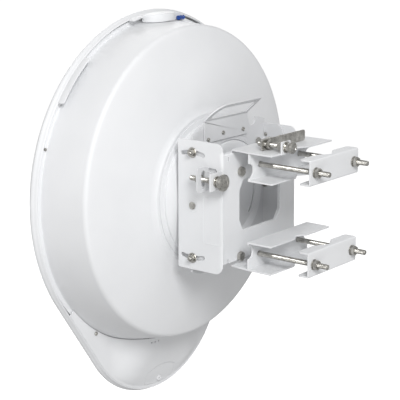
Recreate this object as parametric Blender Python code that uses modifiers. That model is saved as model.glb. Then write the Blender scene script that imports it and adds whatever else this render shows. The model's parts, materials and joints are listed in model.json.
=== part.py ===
"""Outdoor wireless bridge: a dish antenna with its alignment bracket and mast clamps.

Frame: metres, +Z up. The mast would stand on the Z axis, and the dish looks along -Y.
Z = 0 is the height of the dish centre, of the elevation pivot and of the middle of the mast clamps.
"""
import math

import bmesh
import bpy
from mathutils import Matrix, Vector

# ---------------------------------------------------------------- driving dimensions (metres)
GAP = 0.0003                # between neighbouring pieces
SHEET = 0.0025              # sheet metal of every bracket
MAST_R = 0.0254             # mast that the V notches are drawn for (50.8 mm tube)

DISH_R = 0.2726             # radome outline round the dish
CHIN_R = 0.1716             # radome outline round the tip of the chin
CHIN_DROP = 0.1774          # dish centre down to the chin's arc centre
RIM_Y = -0.3085             # widest plane of the radome
LIP = 0.0035                # the radome draws in by this much towards its rear edge
LIP_Y = -0.2992             # rear edge of the radome
WALL_R = 0.2560             # rear shell at its rim
CREASE_R = 0.2455           # rear shell where its side wall meets its back
CREASE_Y = -0.2260
CREASE_RISE = 0.0080        # centre of that circle, above the dish axis
VERTEX_Y = -0.1900          # rear shell at the axis, if it had no hole
HUB_R = 0.0800
FEED_R = 0.0130

PIVOT_Y = -0.1506           # elevation axis, parallel to X
YOKE_X = 0.0940             # yoke, outside of the cheeks
YOKE_H = 0.0980             # half height
YOKE_FRONT = -0.1780
YOKE_BACK = -0.0955
WEB_TOP = 0.0855            # the yoke's web stops here, under the mast bracket's flange
LOCK_R = 0.0800             # elevation arc slots
LOCK_ANGLE = math.radians(14)
WEB_BOLT_X = 0.0510
WEB_BOLT_Z = (0.0520, -0.0770)

AZIMUTH_Y = -0.0780         # azimuth axis, parallel to Z
BRACKET_X = 0.0770          # mast bracket, half width
BRACKET_WEB = -0.0600       # its web, rear face
BRACKET_FRONT = -0.0950
BRACKET_BACK = -0.0200
BRACKET_TOP = 0.0885
BRACKET_LOW = 0.0475
ROD_X = 0.0500              # clamp rods
ROD_Z = 0.0672
ROD_END = 0.0610
CLAMP_X = 0.0630
CLAMP_BACK = 0.0360
CLAMP_FRONT = 0.0160
CLAMP_H = 0.0375

SCREW_R = 0.0040            # M8 rods and adjusting screws
M8_FLAT = 0.0130
M8_TALL = 0.0064
M6_R = 0.0030
M6_FLAT = 0.0100
M6_TALL = 0.0050
EL_SCREW_X = 0.1080         # elevation adjusting screw, parallel to Y
EL_SCREW_Z = 0.0460
AZ_SCREW_X = 0.0460         # azimuth adjusting screw, parallel to Y
AZ_SCREW_Z = 0.0970
ARM_Y = -0.0500             # azimuth arm's wall, rear face

for old in list(bpy.data.objects):
    bpy.data.objects.remove(old, do_unlink=True)

PARTS = bpy.data.collections.new("outdoor_wireless_bridge")
CUTTERS = bpy.data.collections.new("cutters")
for group in (PARTS, CUTTERS):
    bpy.context.scene.collection.children.link(group)


def finish(name, look):
    colour, roughness, metallic = look
    material = bpy.data.materials.new(name)
    material.use_nodes = True
    shader = material.node_tree.nodes["Principled BSDF"]
    shader.inputs["Base Color"].default_value = (*colour, 1.0)
    shader.inputs["Roughness"].default_value = roughness
    shader.inputs["Metallic"].default_value = metallic
    return material


# colour, roughness and metallic value of each kind of surface
WHITE_SHELL = ((0.86, 0.87, 0.88), 0.45, 0.0)
WHITE_METAL = ((0.84, 0.85, 0.86), 0.40, 0.0)
STEEL = ((0.62, 0.61, 0.58), 0.35, 1.0)
ALUMINIUM = ((0.70, 0.71, 0.72), 0.45, 1.0)
RUBBER = ((0.05, 0.05, 0.05), 0.80, 0.0)
BLUE = ((0.02, 0.16, 0.55), 0.20, 0.0)
BOARD = ((0.02, 0.20, 0.09), 0.50, 0.0)
DARK = ((0.06, 0.06, 0.07), 0.50, 0.0)


# ---------------------------------------------------------------- modelling helpers
def put(name, mesh, look=None, group=PARTS):
    """An object of the model with a look of its own, or a hidden cutter without one."""
    obj = bpy.data.objects.new(name, mesh)
    group.objects.link(obj)
    if look is not None:
        mesh.materials.clear()
        mesh.materials.append(finish(name, look))
        mesh.shade_smooth()
        mesh.set_sharp_from_angle(angle=math.radians(30))
    else:
        obj.hide_render = True
        obj.display_type = "WIRE"
    return obj


def put_each(name, meshes, look):
    """Repeated pieces, each an object of its own with a number."""
    for index, mesh in enumerate(meshes, 1):
        put(f"{name}_{index}", mesh, look)


def from_bmesh(name, bm):
    bmesh.ops.recalc_face_normals(bm, faces=bm.faces[:])
    mesh = bpy.data.meshes.new(name)
    bm.to_mesh(mesh)
    bm.free()
    return mesh


def box(name, low, high):
    bm = bmesh.new()
    size = [high[i] - low[i] for i in range(3)]
    middle = [(high[i] + low[i]) / 2 for i in range(3)]
    bmesh.ops.create_cube(bm, size=1.0, matrix=Matrix.Translation(middle) @ Matrix.Diagonal((*size, 1.0)))
    return from_bmesh(name, bm)


AXIS_TURN = {
    "X": Matrix.Rotation(math.pi / 2, 4, "Y"),
    "Y": Matrix.Rotation(-math.pi / 2, 4, "X"),
    "Z": Matrix.Identity(4),
}


def rod(name, centre, axis, radius, length, sides=16):
    """A cylinder or prism about an axis, with its middle at centre."""
    bm = bmesh.new()
    bmesh.ops.create_cone(bm, cap_ends=True, segments=sides, radius1=radius, radius2=radius, depth=length,
                          matrix=Matrix.Translation(centre) @ AXIS_TURN[axis])
    return from_bmesh(name, bm)


PLANES = {                                      # outline's (u, v) and thickness t to world
    "XY": Matrix(((1, 0, 0, 0), (0, 1, 0, 0), (0, 0, 1, 0), (0, 0, 0, 1))),
    "XZ": Matrix(((1, 0, 0, 0), (0, 0, -1, 0), (0, 1, 0, 0), (0, 0, 0, 1))),
    "YZ": Matrix(((0, 0, 1, 0), (1, 0, 0, 0), (0, 1, 0, 0), (0, 0, 0, 1))),
}


def plate(name, outlines, plane, low, high, place=None):
    """A flat piece: outlines in a plane (the first is the edge, the rest are holes), between two levels."""
    curve = bpy.data.curves.new(name, "CURVE")
    curve.dimensions = "2D"
    curve.fill_mode = "BOTH"
    curve.extrude = (high - low) / 2
    for outline in outlines:
        spline = curve.splines.new("POLY")
        spline.points.add(len(outline) - 1)
        for point, (u, v) in zip(spline.points, outline):
            point.co = (u, v, 0.0, 1.0)
        spline.use_cyclic_u = True
    carrier = bpy.data.objects.new(name, curve)
    CUTTERS.objects.link(carrier)
    bpy.context.view_layer.update()
    mesh = bpy.data.meshes.new_from_object(carrier.evaluated_get(bpy.context.evaluated_depsgraph_get()))
    bpy.data.objects.remove(carrier)
    bpy.data.curves.remove(curve)
    middle = (low + high) / 2
    shift = {"XY": (0, 0, middle), "XZ": (0, middle, 0), "YZ": (middle, 0, 0)}[plane]
    bm = bmesh.new()
    bm.from_mesh(mesh)
    bmesh.ops.remove_doubles(bm, verts=bm.verts[:], dist=1e-6)
    bmesh.ops.transform(bm, matrix=(place or Matrix.Identity(4)) @ Matrix.Translation(shift) @ PLANES[plane],
                        verts=bm.verts[:])
    bpy.data.meshes.remove(mesh)
    return from_bmesh(name, bm)


def moved(mesh, matrix):
    """A copy of a mesh, carried to another place (and mirrored, if the matrix mirrors)."""
    copy = mesh.copy()
    copy.transform(matrix)
    if matrix.determinant() < 0:
        copy.flip_normals()
    return copy


def solid(name, mesh, others, operation):
    """Booleans worked out at once: mesh joined with, cut by or kept within the other meshes."""
    base = put(name, mesh, group=CUTTERS)
    tools = []
    for index, other in enumerate(others):
        tool = put(f"{name}_tool_{index}", other, group=CUTTERS)
        tools.append(tool)
        modifier = base.modifiers.new("boolean", "BOOLEAN")
        modifier.operation = operation
        modifier.solver = "EXACT"
        modifier.object = tool
    bpy.context.view_layer.update()
    result = bpy.data.meshes.new_from_object(base.evaluated_get(bpy.context.evaluated_depsgraph_get()))
    for obj in [base, *tools]:
        data = obj.data
        bpy.data.objects.remove(obj)
        bpy.data.meshes.remove(data)
    result.name = name
    return result


def cut(name, mesh, others):
    return solid(name, mesh, others, "DIFFERENCE")


def join(name, mesh, others):
    return solid(name, mesh, others, "UNION")


def arc(centre, radius, start, end, steps):
    """Points on an arc, in degrees from the first axis of the plane towards the second."""
    angles = [math.radians(start + (end - start) * i / steps) for i in range(steps + 1)]
    return [(centre[0] + radius * math.cos(a), centre[1] + radius * math.sin(a)) for a in angles]


def circle(centre, radius, steps=16):
    return arc(centre, radius, 0, 360 - 360 / steps, steps - 1)


def hexagon(centre, flat, turn=0.0):
    return arc(centre, flat / math.sqrt(3), turn, turn + 300, 5)


def rounded(u0, v0, u1, v1, radius, steps=4):
    """A rectangle with round corners."""
    corners = ((u1 - radius, v1 - radius, 0), (u0 + radius, v1 - radius, 90),
               (u0 + radius, v0 + radius, 180), (u1 - radius, v0 + radius, 270))
    points = []
    for u, v, start in corners:
        points += arc((u, v), radius, start, start + 90, steps)
    return points


def arc_slot(centre, radius, middle, half_angle, half_width, steps=6):
    """A slot bent round a centre; middle and half_angle in degrees."""
    a, b = middle - half_angle, middle + half_angle
    end_a = arc(centre, radius, a, b, 1)[0]
    end_b = arc(centre, radius, a, b, 1)[1]
    return (arc(centre, radius + half_width, a, b, steps)
            + arc(end_b, half_width, b, b + 180, 4)[1:-1]
            + arc(centre, radius - half_width, b, a, steps)
            + arc(end_a, half_width, a + 180, a + 360, 4)[1:-1])


def hex_nut(name, x, y, z, flat, tall):
    """A nut with its bore parallel to Y, for the adjusting screws."""
    return plate(name, [hexagon((x, z), flat), circle((x, z), SCREW_R + GAP)], "XZ", y - tall / 2, y + tall / 2)


def bolt(name, start, end, radius, flat, head):
    """A hex bolt along an axis: the shank runs from start to end, and the head lies before start."""
    start, end = Vector(start), Vector(end)
    way = (end - start).normalized()
    axis = "XYZ"[max(range(3), key=lambda i: abs(way[i]))]
    shank_start = start - way * head * 0.5
    shank = rod(name, (shank_start + end) / 2, axis, radius, (end - shank_start).length, 14)
    top = rod(name, start - way * head / 2, axis, flat / math.sqrt(3), head, 6)
    return join(name, top, [shank])


def turned(name, profile, steps=48, centre=(0.0, 0.0)):
    """A ring: a closed profile of (radius, y) turned about an axis parallel to Y through centre (x, z)."""
    mesh = bpy.data.meshes.new(name)
    points = [(r, 0.0, y) for r, y in profile]
    edges = [(i, (i + 1) % len(points)) for i in range(len(points))]
    mesh.from_pydata(points, edges, [])
    carrier = put(name, mesh, group=CUTTERS)
    screw = carrier.modifiers.new("turn", "SCREW")
    screw.axis = "Z"
    screw.steps = steps
    screw.render_steps = steps
    screw.use_merge_vertices = True
    screw.merge_threshold = 0.00001
    bpy.context.view_layer.update()
    result = bpy.data.meshes.new_from_object(carrier.evaluated_get(bpy.context.evaluated_depsgraph_get()))
    bpy.data.objects.remove(carrier)
    bpy.data.meshes.remove(mesh)
    result.transform(Matrix.Translation((centre[0], 0.0, centre[1])) @ Matrix.Rotation(-math.pi / 2, 4, "X"))
    return result


def loft(name, rings):
    """A closed skin over rings of points: quads between neighbours, the last ring joined to a flat cap."""
    bm = bmesh.new()
    loops = [[bm.verts.new(point) for point in ring] for ring in rings]
    for near, far in zip(loops, loops[1:]):
        for i in range(len(near)):
            j = (i + 1) % len(near)
            bm.faces.new((near[i], near[j], far[j], far[i]))
    bm.faces.new(loops[0])
    bm.faces.new(loops[-1])
    return from_bmesh(name, bm)


# ---------------------------------------------------------------- dish: radome, rear shell and chin
def radome_outline(inset, y, size=1.0):
    """The radome's outline, a big circle and a smaller one below it joined by tangents, drawn in by inset."""
    spread = math.degrees(math.acos((DISH_R - CHIN_R) / CHIN_DROP))
    big = arc((0, 0), DISH_R - inset, spread - 90, 270 - spread, 38)
    small = arc((0, -CHIN_DROP), CHIN_R - inset, 270 - spread, 270 + spread, 12)
    points = big[:]
    for start, end, inner in ((big[-1], small[0], small), (small[-1], big[0], [])):
        for step in (1 / 3, 2 / 3):
            points.append((start[0] + (end[0] - start[0]) * step, start[1] + (end[1] - start[1]) * step))
        points += inner
    return [(x * size, y, z * size) for x, z in points]


def flat_outline(inset):
    return [(x, z) for x, _, z in radome_outline(inset, 0.0)]


TONGUE_ANGLES = ((35, 53), (127, 145), (76.5, 82))


def rim_tongues():
    """Tongues that carry the radome's rear edge further back round the rear shell."""
    outer = DISH_R - LIP - 0.0004
    tongues = []
    for start, end in TONGUE_ANGLES:
        steps = max(2, round((end - start) / 3))
        band = arc((0, 0), outer, start, end, steps) + arc((0, 0), outer - 0.0018, end, start, steps)
        tongues.append(plate("tongue", [band], "XZ", LIP_Y - 0.0040, -0.2835))
    return tongues


def radome_front():
    wall = SHEET
    dome = 0.0245
    rim = ((0.0100, -0.3165), (0.0050, -0.3145), (0.0014, -0.3115), (0.0000, RIM_Y), (LIP, LIP_Y))
    back = ((LIP + wall, LIP_Y), (wall, RIM_Y), (0.0014 + wall, -0.3103), (0.0066, -0.3122), (0.0105, -0.3140))
    sizes = (0.20, 0.48, 0.76)
    rings = [radome_outline(rim[0][0], rim[0][1] - dome * (1 - size ** 2), size) for size in sizes]
    rings += [radome_outline(inset, y) for inset, y in rim + back]
    rings += [radome_outline(rim[0][0], back[-1][1] - dome * (1 - size ** 2), size) for size in reversed(sizes)]
    put("radome_front", join("radome_front", loft("radome_front", rings), rim_tongues()), WHITE_SHELL)


def shell_back(radius):
    """Height of the rear shell's back at a radius from the dish axis."""
    return CREASE_Y + (VERTEX_Y - CREASE_Y) * (1 - (radius / CREASE_R) ** 2)


SEAT_R = 0.1210             # flat seat for the hub on the rear shell
SEAT_Y = -0.1960
FLANGE_R = 0.2640           # rear shell's flange inside the radome
FLANGE_Y = -0.3040


def raised(mesh):
    """The rear shell's crease is a circle a little above the dish axis; its rim and its seat are on it."""
    for vertex in mesh.vertices:
        radius = math.hypot(vertex.co.x, vertex.co.z)
        up_wall = (vertex.co.y - LIP_Y) / (CREASE_Y - LIP_Y)
        out_from_seat = (radius - SEAT_R) / (CREASE_R - SEAT_R)
        vertex.co.z += CREASE_RISE * min(max(up_wall, 0.0), 1.0) * min(max(out_from_seat, 0.0), 1.0)
    return mesh


def reflector_shell():
    wall = SHEET
    bowl = [SEAT_R + 0.0030 + (CREASE_R - 0.0020 - SEAT_R - 0.0030) * i / 5 for i in range(6)]
    rear = [(HUB_R, SEAT_Y), (SEAT_R, SEAT_Y)] + [(r, shell_back(r)) for r in bowl]
    rear += [(CREASE_R + 0.0005, CREASE_Y - 0.0020), (WALL_R, LIP_Y), (WALL_R + 0.0010, FLANGE_Y)]
    rear += [(FLANGE_R, FLANGE_Y), (FLANGE_R, FLANGE_Y - wall)]
    front = [(WALL_R - 0.0015, FLANGE_Y - wall), (WALL_R - wall, LIP_Y)]
    front += [(CREASE_R - 0.0025, CREASE_Y - 0.0040)]
    front += [(r - 0.0010, shell_back(r) - wall) for r in reversed(bowl)]
    front += [(SEAT_R - 0.0010, SEAT_Y - wall), (HUB_R, SEAT_Y - wall)]
    put("reflector_shell", raised(turned("reflector_shell", rear + front)), WHITE_SHELL)


def rear_shell_clearance():
    """A solid a little larger than the rear shell's wall, to cut its neighbours with."""
    clear = 0.0015
    profile = [(0.0500, CREASE_Y + 0.0300), (CREASE_R - 0.0300 + clear, CREASE_Y + 0.0300),
               (CREASE_R + clear, CREASE_Y), (WALL_R + clear, LIP_Y), (WALL_R + 0.0015, FLANGE_Y + 0.0010),
               (FLANGE_R + 0.0010, FLANGE_Y + 0.0010), (FLANGE_R + 0.0010, FLANGE_Y - 0.0200),
               (0.0500, FLANGE_Y - 0.0200)]
    return raised(turned("clearance", profile))


def rim_gasket():
    near, far = FLANGE_Y - SHEET - GAP, FLANGE_Y - SHEET - 0.0030
    profile = [(WALL_R + 0.0010, near), (FLANGE_R + 0.0010, near), (FLANGE_R + 0.0010, far),
               (WALL_R + 0.0010, far)]
    put("rim_gasket", turned("rim_gasket", profile), RUBBER)


RIM_SCREW_ANGLE = 20
CHIN_SCREW_ANGLE = -55.6
CHIN_SCREW_R = 0.2620


def screw_head(x, y, z, length, radius=0.0032):
    """A small pan-head screw that points along -Y, with its head's back at y."""
    head = turned("head", [(0.0006, y), (radius * 0.75, y), (radius, y - 0.0010), (radius, y - 0.0022),
                           (0.0006, y - 0.0022)], 12, (x, z))
    slot = box("slot", (x - radius, y - 0.0008, z - 0.0004), (x + radius, y + 0.0010, z + 0.0004))
    plug = rod("plug", (x, y - 0.0014 - length / 2, z), "Y", 0.0014, length, 8)
    return cut("screw", join("screw", head, [plug]), [slot])


def chin_screw_place():
    turn = math.radians(CHIN_SCREW_ANGLE)
    return CHIN_SCREW_R * math.cos(turn), CHIN_SCREW_R * math.sin(turn)


def rim_screws():
    turn = math.radians(RIM_SCREW_ANGLE)
    x, z = 0.2602 * math.cos(turn), 0.2602 * math.sin(turn)
    put("rim_screw", screw_head(x, FLANGE_Y + 0.0026, z, 0.0008, 0.0024), STEEL)
    x, z = chin_screw_place()
    put("chin_screw", screw_head(x, COVER_Y + 0.0025, z, 0.0030), STEEL)


COVER_Y = -0.2997           # flat rear face of the chin's cover
COVER_INSET = 0.0064
POD_TOP_Y = -0.2700         # the cover rises to here beside the rear shell
POD_TOP_Z = -0.2350
POD_FOOT_Z = -0.3400
LIGHTS_Y = -0.2790
DOOR_X = 0.0350
DOOR_TOP = -0.3060
LATCH_Z = -0.3318


def pod_outline(inset):
    """The raised middle of the chin: bounded by two sloping sides and the radome's outline."""
    low = [(x, z) for x, z in flat_outline(COVER_INSET + 0.0040 + inset) if z < -0.2740]
    low.sort(key=lambda p: p[0])
    top = -0.2150
    return [(-0.0930 + inset, top)] + low + [(0.0930 - inset, top)]


def pod_rise(inset):
    """The pod rises from the tip of the chin to the rear shell, and from its two sides to the middle."""
    front = COVER_Y - 0.0200
    climb = [(front, POD_FOOT_Z), (COVER_Y - inset, POD_FOOT_Z + inset), (POD_TOP_Y - inset, POD_TOP_Z),
             (POD_TOP_Y - inset, -0.2100), (front, -0.2100)]
    side, middle = COVER_Y + 0.0012 - inset, POD_TOP_Y - inset
    half = [(0.1450, front), (0.1450, side), (0.0960, side), (0.0450, middle)]
    return solid("rise", plate("climb", [climb], "YZ", -0.1400, 0.1400),
                 [plate("roof", [half_mirror(half)], "XY", -0.3500, -0.2000)], "INTERSECT")


def door_outline(inset):
    """The door closes the lowest part of the chin, between two arcs."""
    low_r = CHIN_R - COVER_INSET - 0.0040 - inset
    top_r = 0.0700 - inset
    low_side = math.degrees(math.asin((DOOR_X - inset) / low_r))
    top_side = math.degrees(math.asin((DOOR_X - inset) / top_r))
    low = arc((0, -CHIN_DROP), low_r, 270 - low_side, 270 + low_side, 8)
    return low + arc((0, DOOR_TOP - 0.0700), top_r, 90 - top_side, 90 + top_side, 8)


def chin_rear_cover():
    clearance = rear_shell_clearance()
    base = plate("base", [flat_outline(COVER_INSET)], "XZ", COVER_Y - 0.0030, COVER_Y)
    base = cut("base", base, [box("upper", (-0.3, -0.4, -0.1740), (0.3, -0.2, 0.3))])
    pod = solid("pod", pod_rise(0.0), [plate("pod_edge", [pod_outline(0.0)], "XZ", -0.3010, -0.2600)], "INTERSECT")
    inner = solid("pod_inner", pod_rise(SHEET),
                  [plate("pod_inner_edge", [pod_outline(SHEET)], "XZ", -0.3200, -0.2600)], "INTERSECT")
    cover = cut("cover", join("cover", base, [pod]), [inner, clearance])
    door_hole = plate("door_hole", [door_outline(-GAP)], "XZ", -0.3200, -0.2800)
    holes = [door_hole]
    for x in LIGHTS_X:
        holes.append(rod("light_hole", (x, LIGHTS_Y, LIGHTS_Z), "Y", LIGHT_R + GAP, 0.0600, 12))
    x, z = chin_screw_place()
    holes.append(rod("screw_hole", (x, COVER_Y, z), "Y", 0.0018, 0.0200, 12))
    put("chin_rear_cover", cut("chin_rear_cover", cover, holes), WHITE_SHELL)


LIGHTS_X = (0.0395, 0.0320, 0.0245)
LIGHTS_Z = -0.2565
LIGHT_R = 0.0012


def status_lights():
    low, high = BOARD_Y + 0.0060, LIGHTS_Y
    pipes = [rod("pipe", (x, (low + high) / 2, LIGHTS_Z), "Y", LIGHT_R, high - low, 12) for x in LIGHTS_X]
    bar = box("bar", (LIGHTS_X[2] - 0.0020, low + 0.0040, LIGHTS_Z - 0.0008),
              (LIGHTS_X[0] + 0.0020, low + 0.0060, LIGHTS_Z + 0.0008))
    put("status_lights", join("status_lights", bar, pipes), DARK)


def cable_door():
    slab = plate("slab", [door_outline(0.0)], "XZ", COVER_Y - 0.0030, COVER_Y + 0.0150)
    slope = cut("slope", solid("slope", slab, [pod_rise(0.0)], "INTERSECT"), [pod_rise(SHEET)])
    rib = box("rib", (-0.0250, COVER_Y - 0.0070, -0.3200), (0.0250, COVER_Y + 0.0045, -0.3185))
    hole = rod("hole", (0, COVER_Y, LATCH_Z), "Y", 0.0052, 0.0300, 20)
    put("cable_door", cut("cable_door", join("cable_door", slope, [rib]), [hole]), WHITE_SHELL)


def door_latch():
    stem = turned("stem", [(0.0006, COVER_Y + 0.0038), (0.0044, COVER_Y + 0.0038), (0.0049, COVER_Y + 0.0032),
                           (0.0049, COVER_Y - 0.0060), (0.0006, COVER_Y - 0.0060)], 20, (0.0, LATCH_Z))
    cam = box("cam", (-0.0020, COVER_Y - 0.0075, LATCH_Z - 0.0065), (0.0020, COVER_Y - 0.0055, LATCH_Z + 0.0040))
    slot = box("slot", (-0.0035, COVER_Y + 0.0028, LATCH_Z - 0.0006), (0.0035, COVER_Y + 0.0050, LATCH_Z + 0.0006))
    put("door_latch", cut("door_latch", join("door_latch", stem, [cam]), [slot]), WHITE_SHELL)


BOARD_Y = -0.3080           # rear face of the main board
BOARD_X = 0.0780
BOARD_Z = (-0.3120, -0.2720)


def main_board():
    slab = box("board", (-BOARD_X, BOARD_Y - 0.0016, BOARD_Z[0]), (BOARD_X, BOARD_Y, BOARD_Z[1]))
    chips = [box("chip", (x - 0.0080, BOARD_Y - 0.0005, -0.2960), (x + 0.0080, BOARD_Y + 0.0012, -0.2800))
             for x in (-0.0560, 0.0520)]
    put("main_board", join("main_board", slab, chips), BOARD)


def heat_sink():
    base = box("base", (-BOARD_X + 0.0040, BOARD_Y - 0.0049, -0.3080), (BOARD_X - 0.0040, BOARD_Y - 0.0019, -0.2740))
    fins = []
    for index in range(9):
        x = -0.0640 + 0.0160 * index
        fins.append(box("fin", (x - 0.0010, BOARD_Y - 0.0080, -0.3080), (x + 0.0010, BOARD_Y - 0.0040, -0.2740)))
    put("heat_sink", join("heat_sink", base, fins), ALUMINIUM)


def sockets():
    """The data socket and the fibre cage, both open downwards behind the cable door."""
    low = DOOR_TOP + 0.0020
    shell = box("jack", (0.0040, BOARD_Y + GAP, low), (0.0200, BOARD_Y + 0.0135, low + 0.0170))
    mouth = box("mouth", (0.0060, BOARD_Y + 0.0030, low - 0.0010), (0.0180, BOARD_Y + 0.0110, low + 0.0120))
    key = box("key", (0.0095, BOARD_Y + 0.0105, low - 0.0010), (0.0145, BOARD_Y + 0.0122, low + 0.0120))
    put("ethernet_jack", cut("ethernet_jack", shell, [mouth, key]), STEEL)
    cage = box("cage", (-0.0220, BOARD_Y + GAP, low), (-0.0068, BOARD_Y + 0.0110, low + 0.0300))
    bore = box("bore", (-0.0213, BOARD_Y + 0.0012, low - 0.0010), (-0.0075, BOARD_Y + 0.0103, low + 0.0290))
    put("fibre_cage", cut("fibre_cage", cage, [bore]), STEEL)


def feed():
    tip = -0.3000
    base = SEAT_Y - SHEET - GAP
    profile = [(FEED_R - 0.0040, base), (0.0950, base), (0.0950, base - SHEET), (FEED_R, base - SHEET),
               (FEED_R, tip), (FEED_R - 0.0040, tip)]
    put("feed_tube", turned("feed_tube", profile, 36), ALUMINIUM)
    cap = [(0.0020, tip - GAP), (FEED_R + 0.0020, tip - GAP), (0.0300, tip - 0.0100), (0.0300, tip - 0.0130),
           (0.0020, tip - 0.0130)]
    put("subreflector", turned("subreflector", cap, 28), WHITE_SHELL)


def level():
    """The housing of the spirit level on top of the rim, and its vial."""
    front, bulge, half = LIP_Y + GAP, -0.2700, 0.0330
    depth = bulge - (front + 0.0070)
    radius = (half ** 2 + depth ** 2) / (2 * depth)
    spread = math.degrees(math.asin(half / radius))
    plan = [(half, front)] + arc((0, bulge - radius), radius, 90 - spread, 90 + spread, 12) + [(-half, front)]
    body = plate("body", [plan], "XY", 0.2400, 0.2800)
    rest = box("rest", (-0.0530, front, 0.2400), (-half + 0.0080, -0.2868, 0.2800))
    body = join("body", body, [rest])
    crown = rod("crown", (0, -0.2800, 0), "Y", DISH_R - 0.0040, 0.0500, 120)
    body = solid("body", body, [crown], "INTERSECT")
    put("level_housing", cut("level_housing", body, [rear_shell_clearance()]), WHITE_SHELL)
    vial = rod("vial", (-0.0420, -0.2828, 0.2575), "X", 0.0037, 0.0150, 20)
    put("level_vial", vial, BLUE)


# ---------------------------------------------------------------- hub, dish bracket and handle
PLATE_HALF = 0.0860         # square plate of the hub, behind the dish bracket
BRACKET_SCREW = 0.0720
DISH_WEB = -0.1540          # dish bracket's web, rear face
DISH_WEB_HOLE = 0.0842
DISH_CHEEK_X = YOKE_X - SHEET - 0.0005
LUG_Y = -0.1190             # elevation lug, rear face
LUG_NECK = (0.0400, 0.0540)
HUB_DISC = 0.0030
HUB_SLOT_R = 0.0610


def hub_adapter():
    """A cast cup between the rear shell and the dish bracket, closed by a disc with two curved slots."""
    front = DISH_WEB - SHEET - GAP
    rear = DISH_WEB + 0.0015
    profile = [(0.0040, rear), (DISH_WEB_HOLE - 0.0012, rear), (DISH_WEB_HOLE - 0.0012, front), (0.0870, front),
               (0.0880, -0.1830), (0.1070, -0.1905), (0.1070, -0.1942), (0.1160, -0.1942),
               (0.1160, SEAT_Y + GAP), (0.0740, SEAT_Y + GAP), (0.0740, rear - HUB_DISC), (0.0040, rear - HUB_DISC)]
    ring = turned("ring", profile, 40)
    square = plate("square", [rounded(-PLATE_HALF, -PLATE_HALF, PLATE_HALF, PLATE_HALF, 0.0150),
                              circle((0, 0), 0.0770, 32)], "XZ", -0.1640, front)
    holes = [rod("hole", (x, front, z), "Y", 0.0034, 0.0140, 12)
             for x in (-BRACKET_SCREW, BRACKET_SCREW) for z in (-BRACKET_SCREW, BRACKET_SCREW)]
    for side in (0, 180):
        slot = arc_slot((0, 0), HUB_SLOT_R, side, 38, 0.0012)
        holes.append(plate("slot", [slot], "XZ", rear - 0.0060, rear + 0.0040))
    put("hub_adapter", cut("hub_adapter", join("hub_adapter", ring, [square]), holes), ALUMINIUM)


def half_mirror(points):
    """A closed outline from its half at positive u, listed from bottom to top."""
    return points + [(-u, v) for u, v in reversed(points)]


def dish_bracket():
    web_edge = half_mirror([(0.0700, -0.1110), (DISH_CHEEK_X, -0.1040), (DISH_CHEEK_X, 0.1050), (0.0700, 0.1110)])
    notch = arc((-0.0570, 0.1080), 0.0090, 180, 360, 8)
    notch = notch + [(-0.0480, 0.1200), (-0.0660, 0.1200)]
    web = plate("web", [web_edge, circle((0, 0), DISH_WEB_HOLE, 40)], "XZ", DISH_WEB - SHEET, DISH_WEB)
    rear = [(PIVOT_Y + 0.0476, 0.0), (PIVOT_Y + 0.0440, 0.0400), (PIVOT_Y + 0.0355, 0.0780)]
    corner = arc((PIVOT_Y + 0.0205, 0.0850), 0.0130, 30, 90, 4)
    upper = rear + corner + [(DISH_WEB - SHEET, 0.0980)]
    edge = upper + [(y, -z) for y, z in reversed(upper) if z > 0]
    cheeks = []
    for side in (-1, 1):
        low, high = sorted((side * (DISH_CHEEK_X - SHEET), side * DISH_CHEEK_X))
        cheeks.append(plate("cheek", [edge], "YZ", low, high))
    lug_x = EL_SCREW_X + 0.0150
    neck = box("neck", (DISH_CHEEK_X - 0.0010, LUG_Y - SHEET, LUG_NECK[0]),
               (YOKE_X + 0.0040, LUG_Y, LUG_NECK[1]))
    ear = plate("ear", [rounded(YOKE_X + 0.0020, 0.0275, lug_x, 0.0645, 0.0040),
                        rounded(EL_SCREW_X - 0.0049, 0.0322, EL_SCREW_X + 0.0049, 0.0595, 0.0048)],
                "XZ", LUG_Y - SHEET, LUG_Y)
    body = join("dish_bracket", web, cheeks + [neck, ear])
    holes = [plate("notch", [notch], "XZ", DISH_WEB - 0.0100, DISH_WEB + 0.0100)]
    holes.append(rod("pivot", (0, PIVOT_Y, 0), "X", SCREW_R + GAP, 0.3000, 20))
    for z in (-LOCK_R, LOCK_R):
        holes.append(rod("lock", (0, PIVOT_Y, z), "X", M6_R + GAP, 0.3000, 16))
    for x in (-BRACKET_SCREW, BRACKET_SCREW):
        for z in (-BRACKET_SCREW, BRACKET_SCREW):
            holes.append(rod("hole", (x, DISH_WEB, z), "Y", 0.0034, 0.0140, 12))
    for x, z in HANDLE_SCREWS:
        holes.append(rod("hole", (x, DISH_WEB, z), "Y", 0.0022, 0.0060, 12))
    put("dish_bracket", cut("dish_bracket", body, holes), WHITE_METAL)


def bracket_screws():
    screws = []
    for x in (-BRACKET_SCREW, BRACKET_SCREW):
        for z in (-BRACKET_SCREW, BRACKET_SCREW):
            screws.append(bolt("screw", (x, DISH_WEB + GAP, z), (x, -0.1630, z), M6_R, M6_FLAT, 0.0040))
    put_each("bracket_screw", screws, STEEL)


HANDLE_SCREWS = ((0.0560, 0.0930), (0.0200, 0.0985), (-0.0300, 0.0970))
HANDLE_FOLD = 0.1210
HANDLE_TILT = math.radians(40)


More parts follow.
